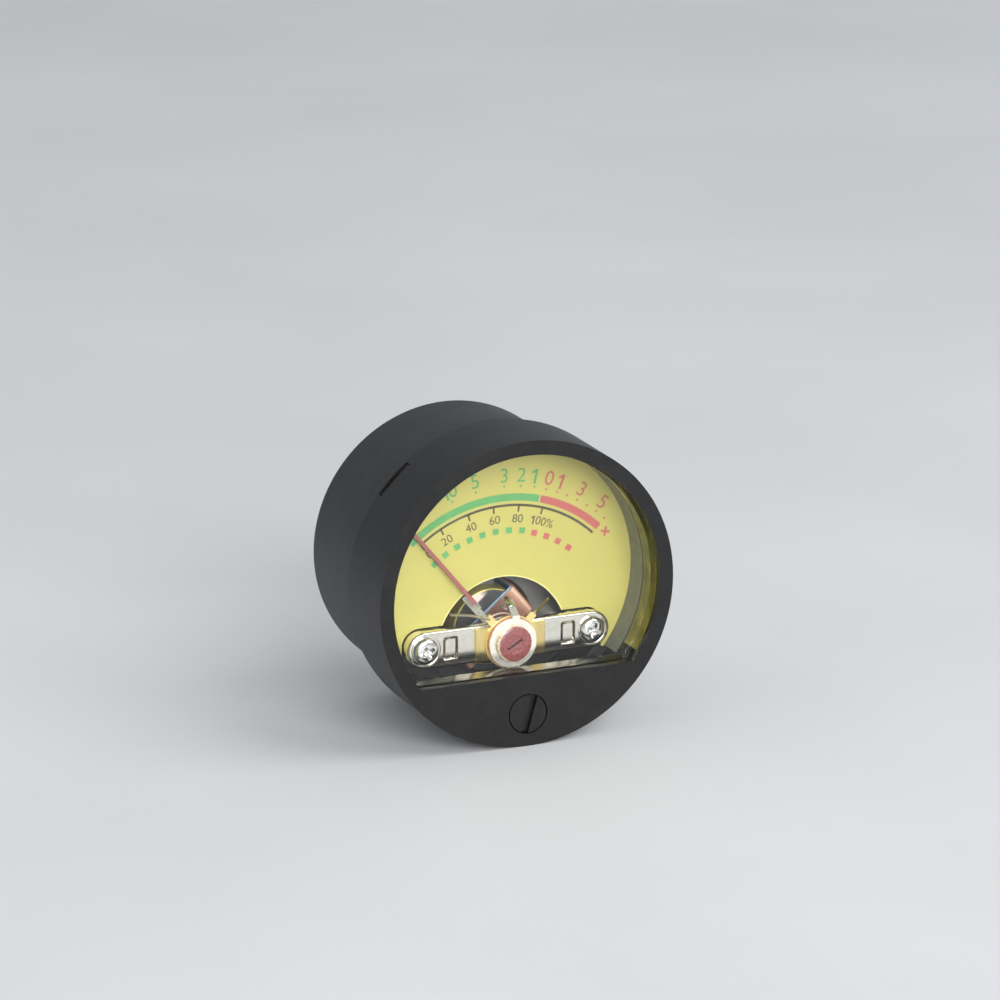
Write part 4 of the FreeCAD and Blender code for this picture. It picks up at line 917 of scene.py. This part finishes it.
# Painted reflection: the aluminium former is coloured blue for a bluish reflection along the
# coil's edge.
painted_blue_reflection = finish("aluminium_painted_blue_reflection", (0.40, 0.66, 0.84), (0.30, 0.54, 0.72), (0.2, 0.3), 0.35,
               mottle=600)
aluminium = finish("dull_aluminium", (0.49, 0.50, 0.43), (0.44, 0.45, 0.38), (0.25, 0.35), 0.35,
                   mottle=500, grain=4000, relief=0.08)
steel = finish("hard_steel", (0.6, 0.6, 0.6), (0.5, 0.5, 0.5), (0.12, 0.2), 1.0)
bronze = finish("spring_bronze", (1.0, 0.88, 0.80), (0.86, 0.66, 0.55), (0.2, 0.3), 0.35,
                mottle=2500)
dress("coil_winding", copper, 0.06)
dress("coil_former", painted_blue_reflection)
dress("front_hub", brass)
dress("rear_hub", brass)
dress("front_pivot", steel)
dress("rear_pivot", steel)
dress("front_hairspring", bronze)
dress("rear_hairspring", bronze)

# Pointer. A folded aluminium arm carries a thin red-brown needle in front and, behind the hub, a
# tail with a small weight.
dress("pointer_arm", aluminium, 0.03)
needle_red = finish("needle_red_paint", (0.25, 0.078, 0.068), (0.21, 0.065, 0.056),
                    (0.35, 0.45), mottle=900)
dress("needle", needle_red, 0.05)
dress("balance_tail", aluminium, 0.02)
dress("balance_weight", brass, 0.05)

# Zero screw. A black moulded disc with a driver slot, set flush in the bezel; a clip in its
# shank's groove keeps it there, and its pin turns the zero lever.
zero_screw = turn("zero_disc", [(2.8, -0.85), (2.8, 0.3), (1.5, 0.3), (1.5, 3.25),
                                (1.15, 3.25), (1.15, 3.6), (1.5, 3.6), (1.5, 4.0)],
                  sides=96, z=zero_screw_z)
joined(zero_screw, turn("pin", [(0.5, 3.8), (0.5, 5.85)], sides=32, z=-18.5), "UNION")
driver_slot = block("driver_slot", (-0.775, -2, -21.7), (0.775, -0.15, -13.7))
pull(driver_slot, lambda x, y, z: x < 0 and y > -1, (0.75, 0, 0))
turn_about(driver_slot, 16, (0, zero_screw_z))
joined(zero_screw, driver_slot)
soften(zero_screw, 0.14)
mount(zero_screw, "zero_adjuster", "black_satin_plastic", black_plastic, "zero_screw")
dress("zero_screw_clip", zinc, 0.04)

# Rear bridge. It spans the back of the yoke on two feet, and holds the rear jewel screw, its
# lock nut and the tag of the rear hairspring.
dress("rear_bridge", nickel, 0.1)
dress("rear_bridge_screws", zinc, 0.05)
dress("rear_jewel_screw", brass, 0.05)
dress("rear_jewel", ruby)
dress("rear_lock_nut", brass, 0.06)
dress("rear_spring_tag", brass, 0.03)
dress("rear_lead", tinned)

# Light. A small green board with four yellow lamps stands behind the dial; two pins bring its
# current out through the case.
board_green = finish("board_green", (0.03, 0.16, 0.06), (0.02, 0.12, 0.05), (0.3, 0.42))
dress("light_board", board_green, 0.04)
led_yellow = finish("led_yellow", (0.85, 0.66, 0.14), (0.75, 0.56, 0.1), (0.25, 0.35))
dress("leds", led_yellow, 0.08)
dress("lamp_pins", tinned, 0.05)

# Terminals. Two brass studs, nickel plated, run out through the back of the case, each with a
# solder tag, a washer and a hexagon nut; their free ends show the thread.
crest, root, pitch = 1.5, 1.27, 0.5
core, thread_start = 1.25, 33.6
thread = [(core, 28.3), (core, thread_start), (root, thread_start)]
for step in range(8):
    start = thread_start + pitch * step
    thread += [(crest, start + 0.2), (crest, start + 0.3), (root, start + pitch)]
thread += [(crest, 37.8), (1.1, 38.2)]
studs = []
for side in (-1, 1):
    stud = turn("stud", thread, sides=48, x=side * stud_x, z=stud_z)
    head = turn("head", [(3.17, 27.4), (3.17, 28.6)], sides=6, x=side * stud_x, z=stud_z)
    turn_about(head, 30, (side * stud_x, stud_z))
    studs.append(soften(joined(stud, head, "UNION"), 0.03, segments=2, angle=32))
mount(as_one(studs, "stud_pair"), "housing", "brass", nickel, "terminal_studs")
dress("solder_tags", tinned, 0.06)
dress("terminal_washers", nickel, 0.06)
dress("terminal_nuts", nickel, 0.08)
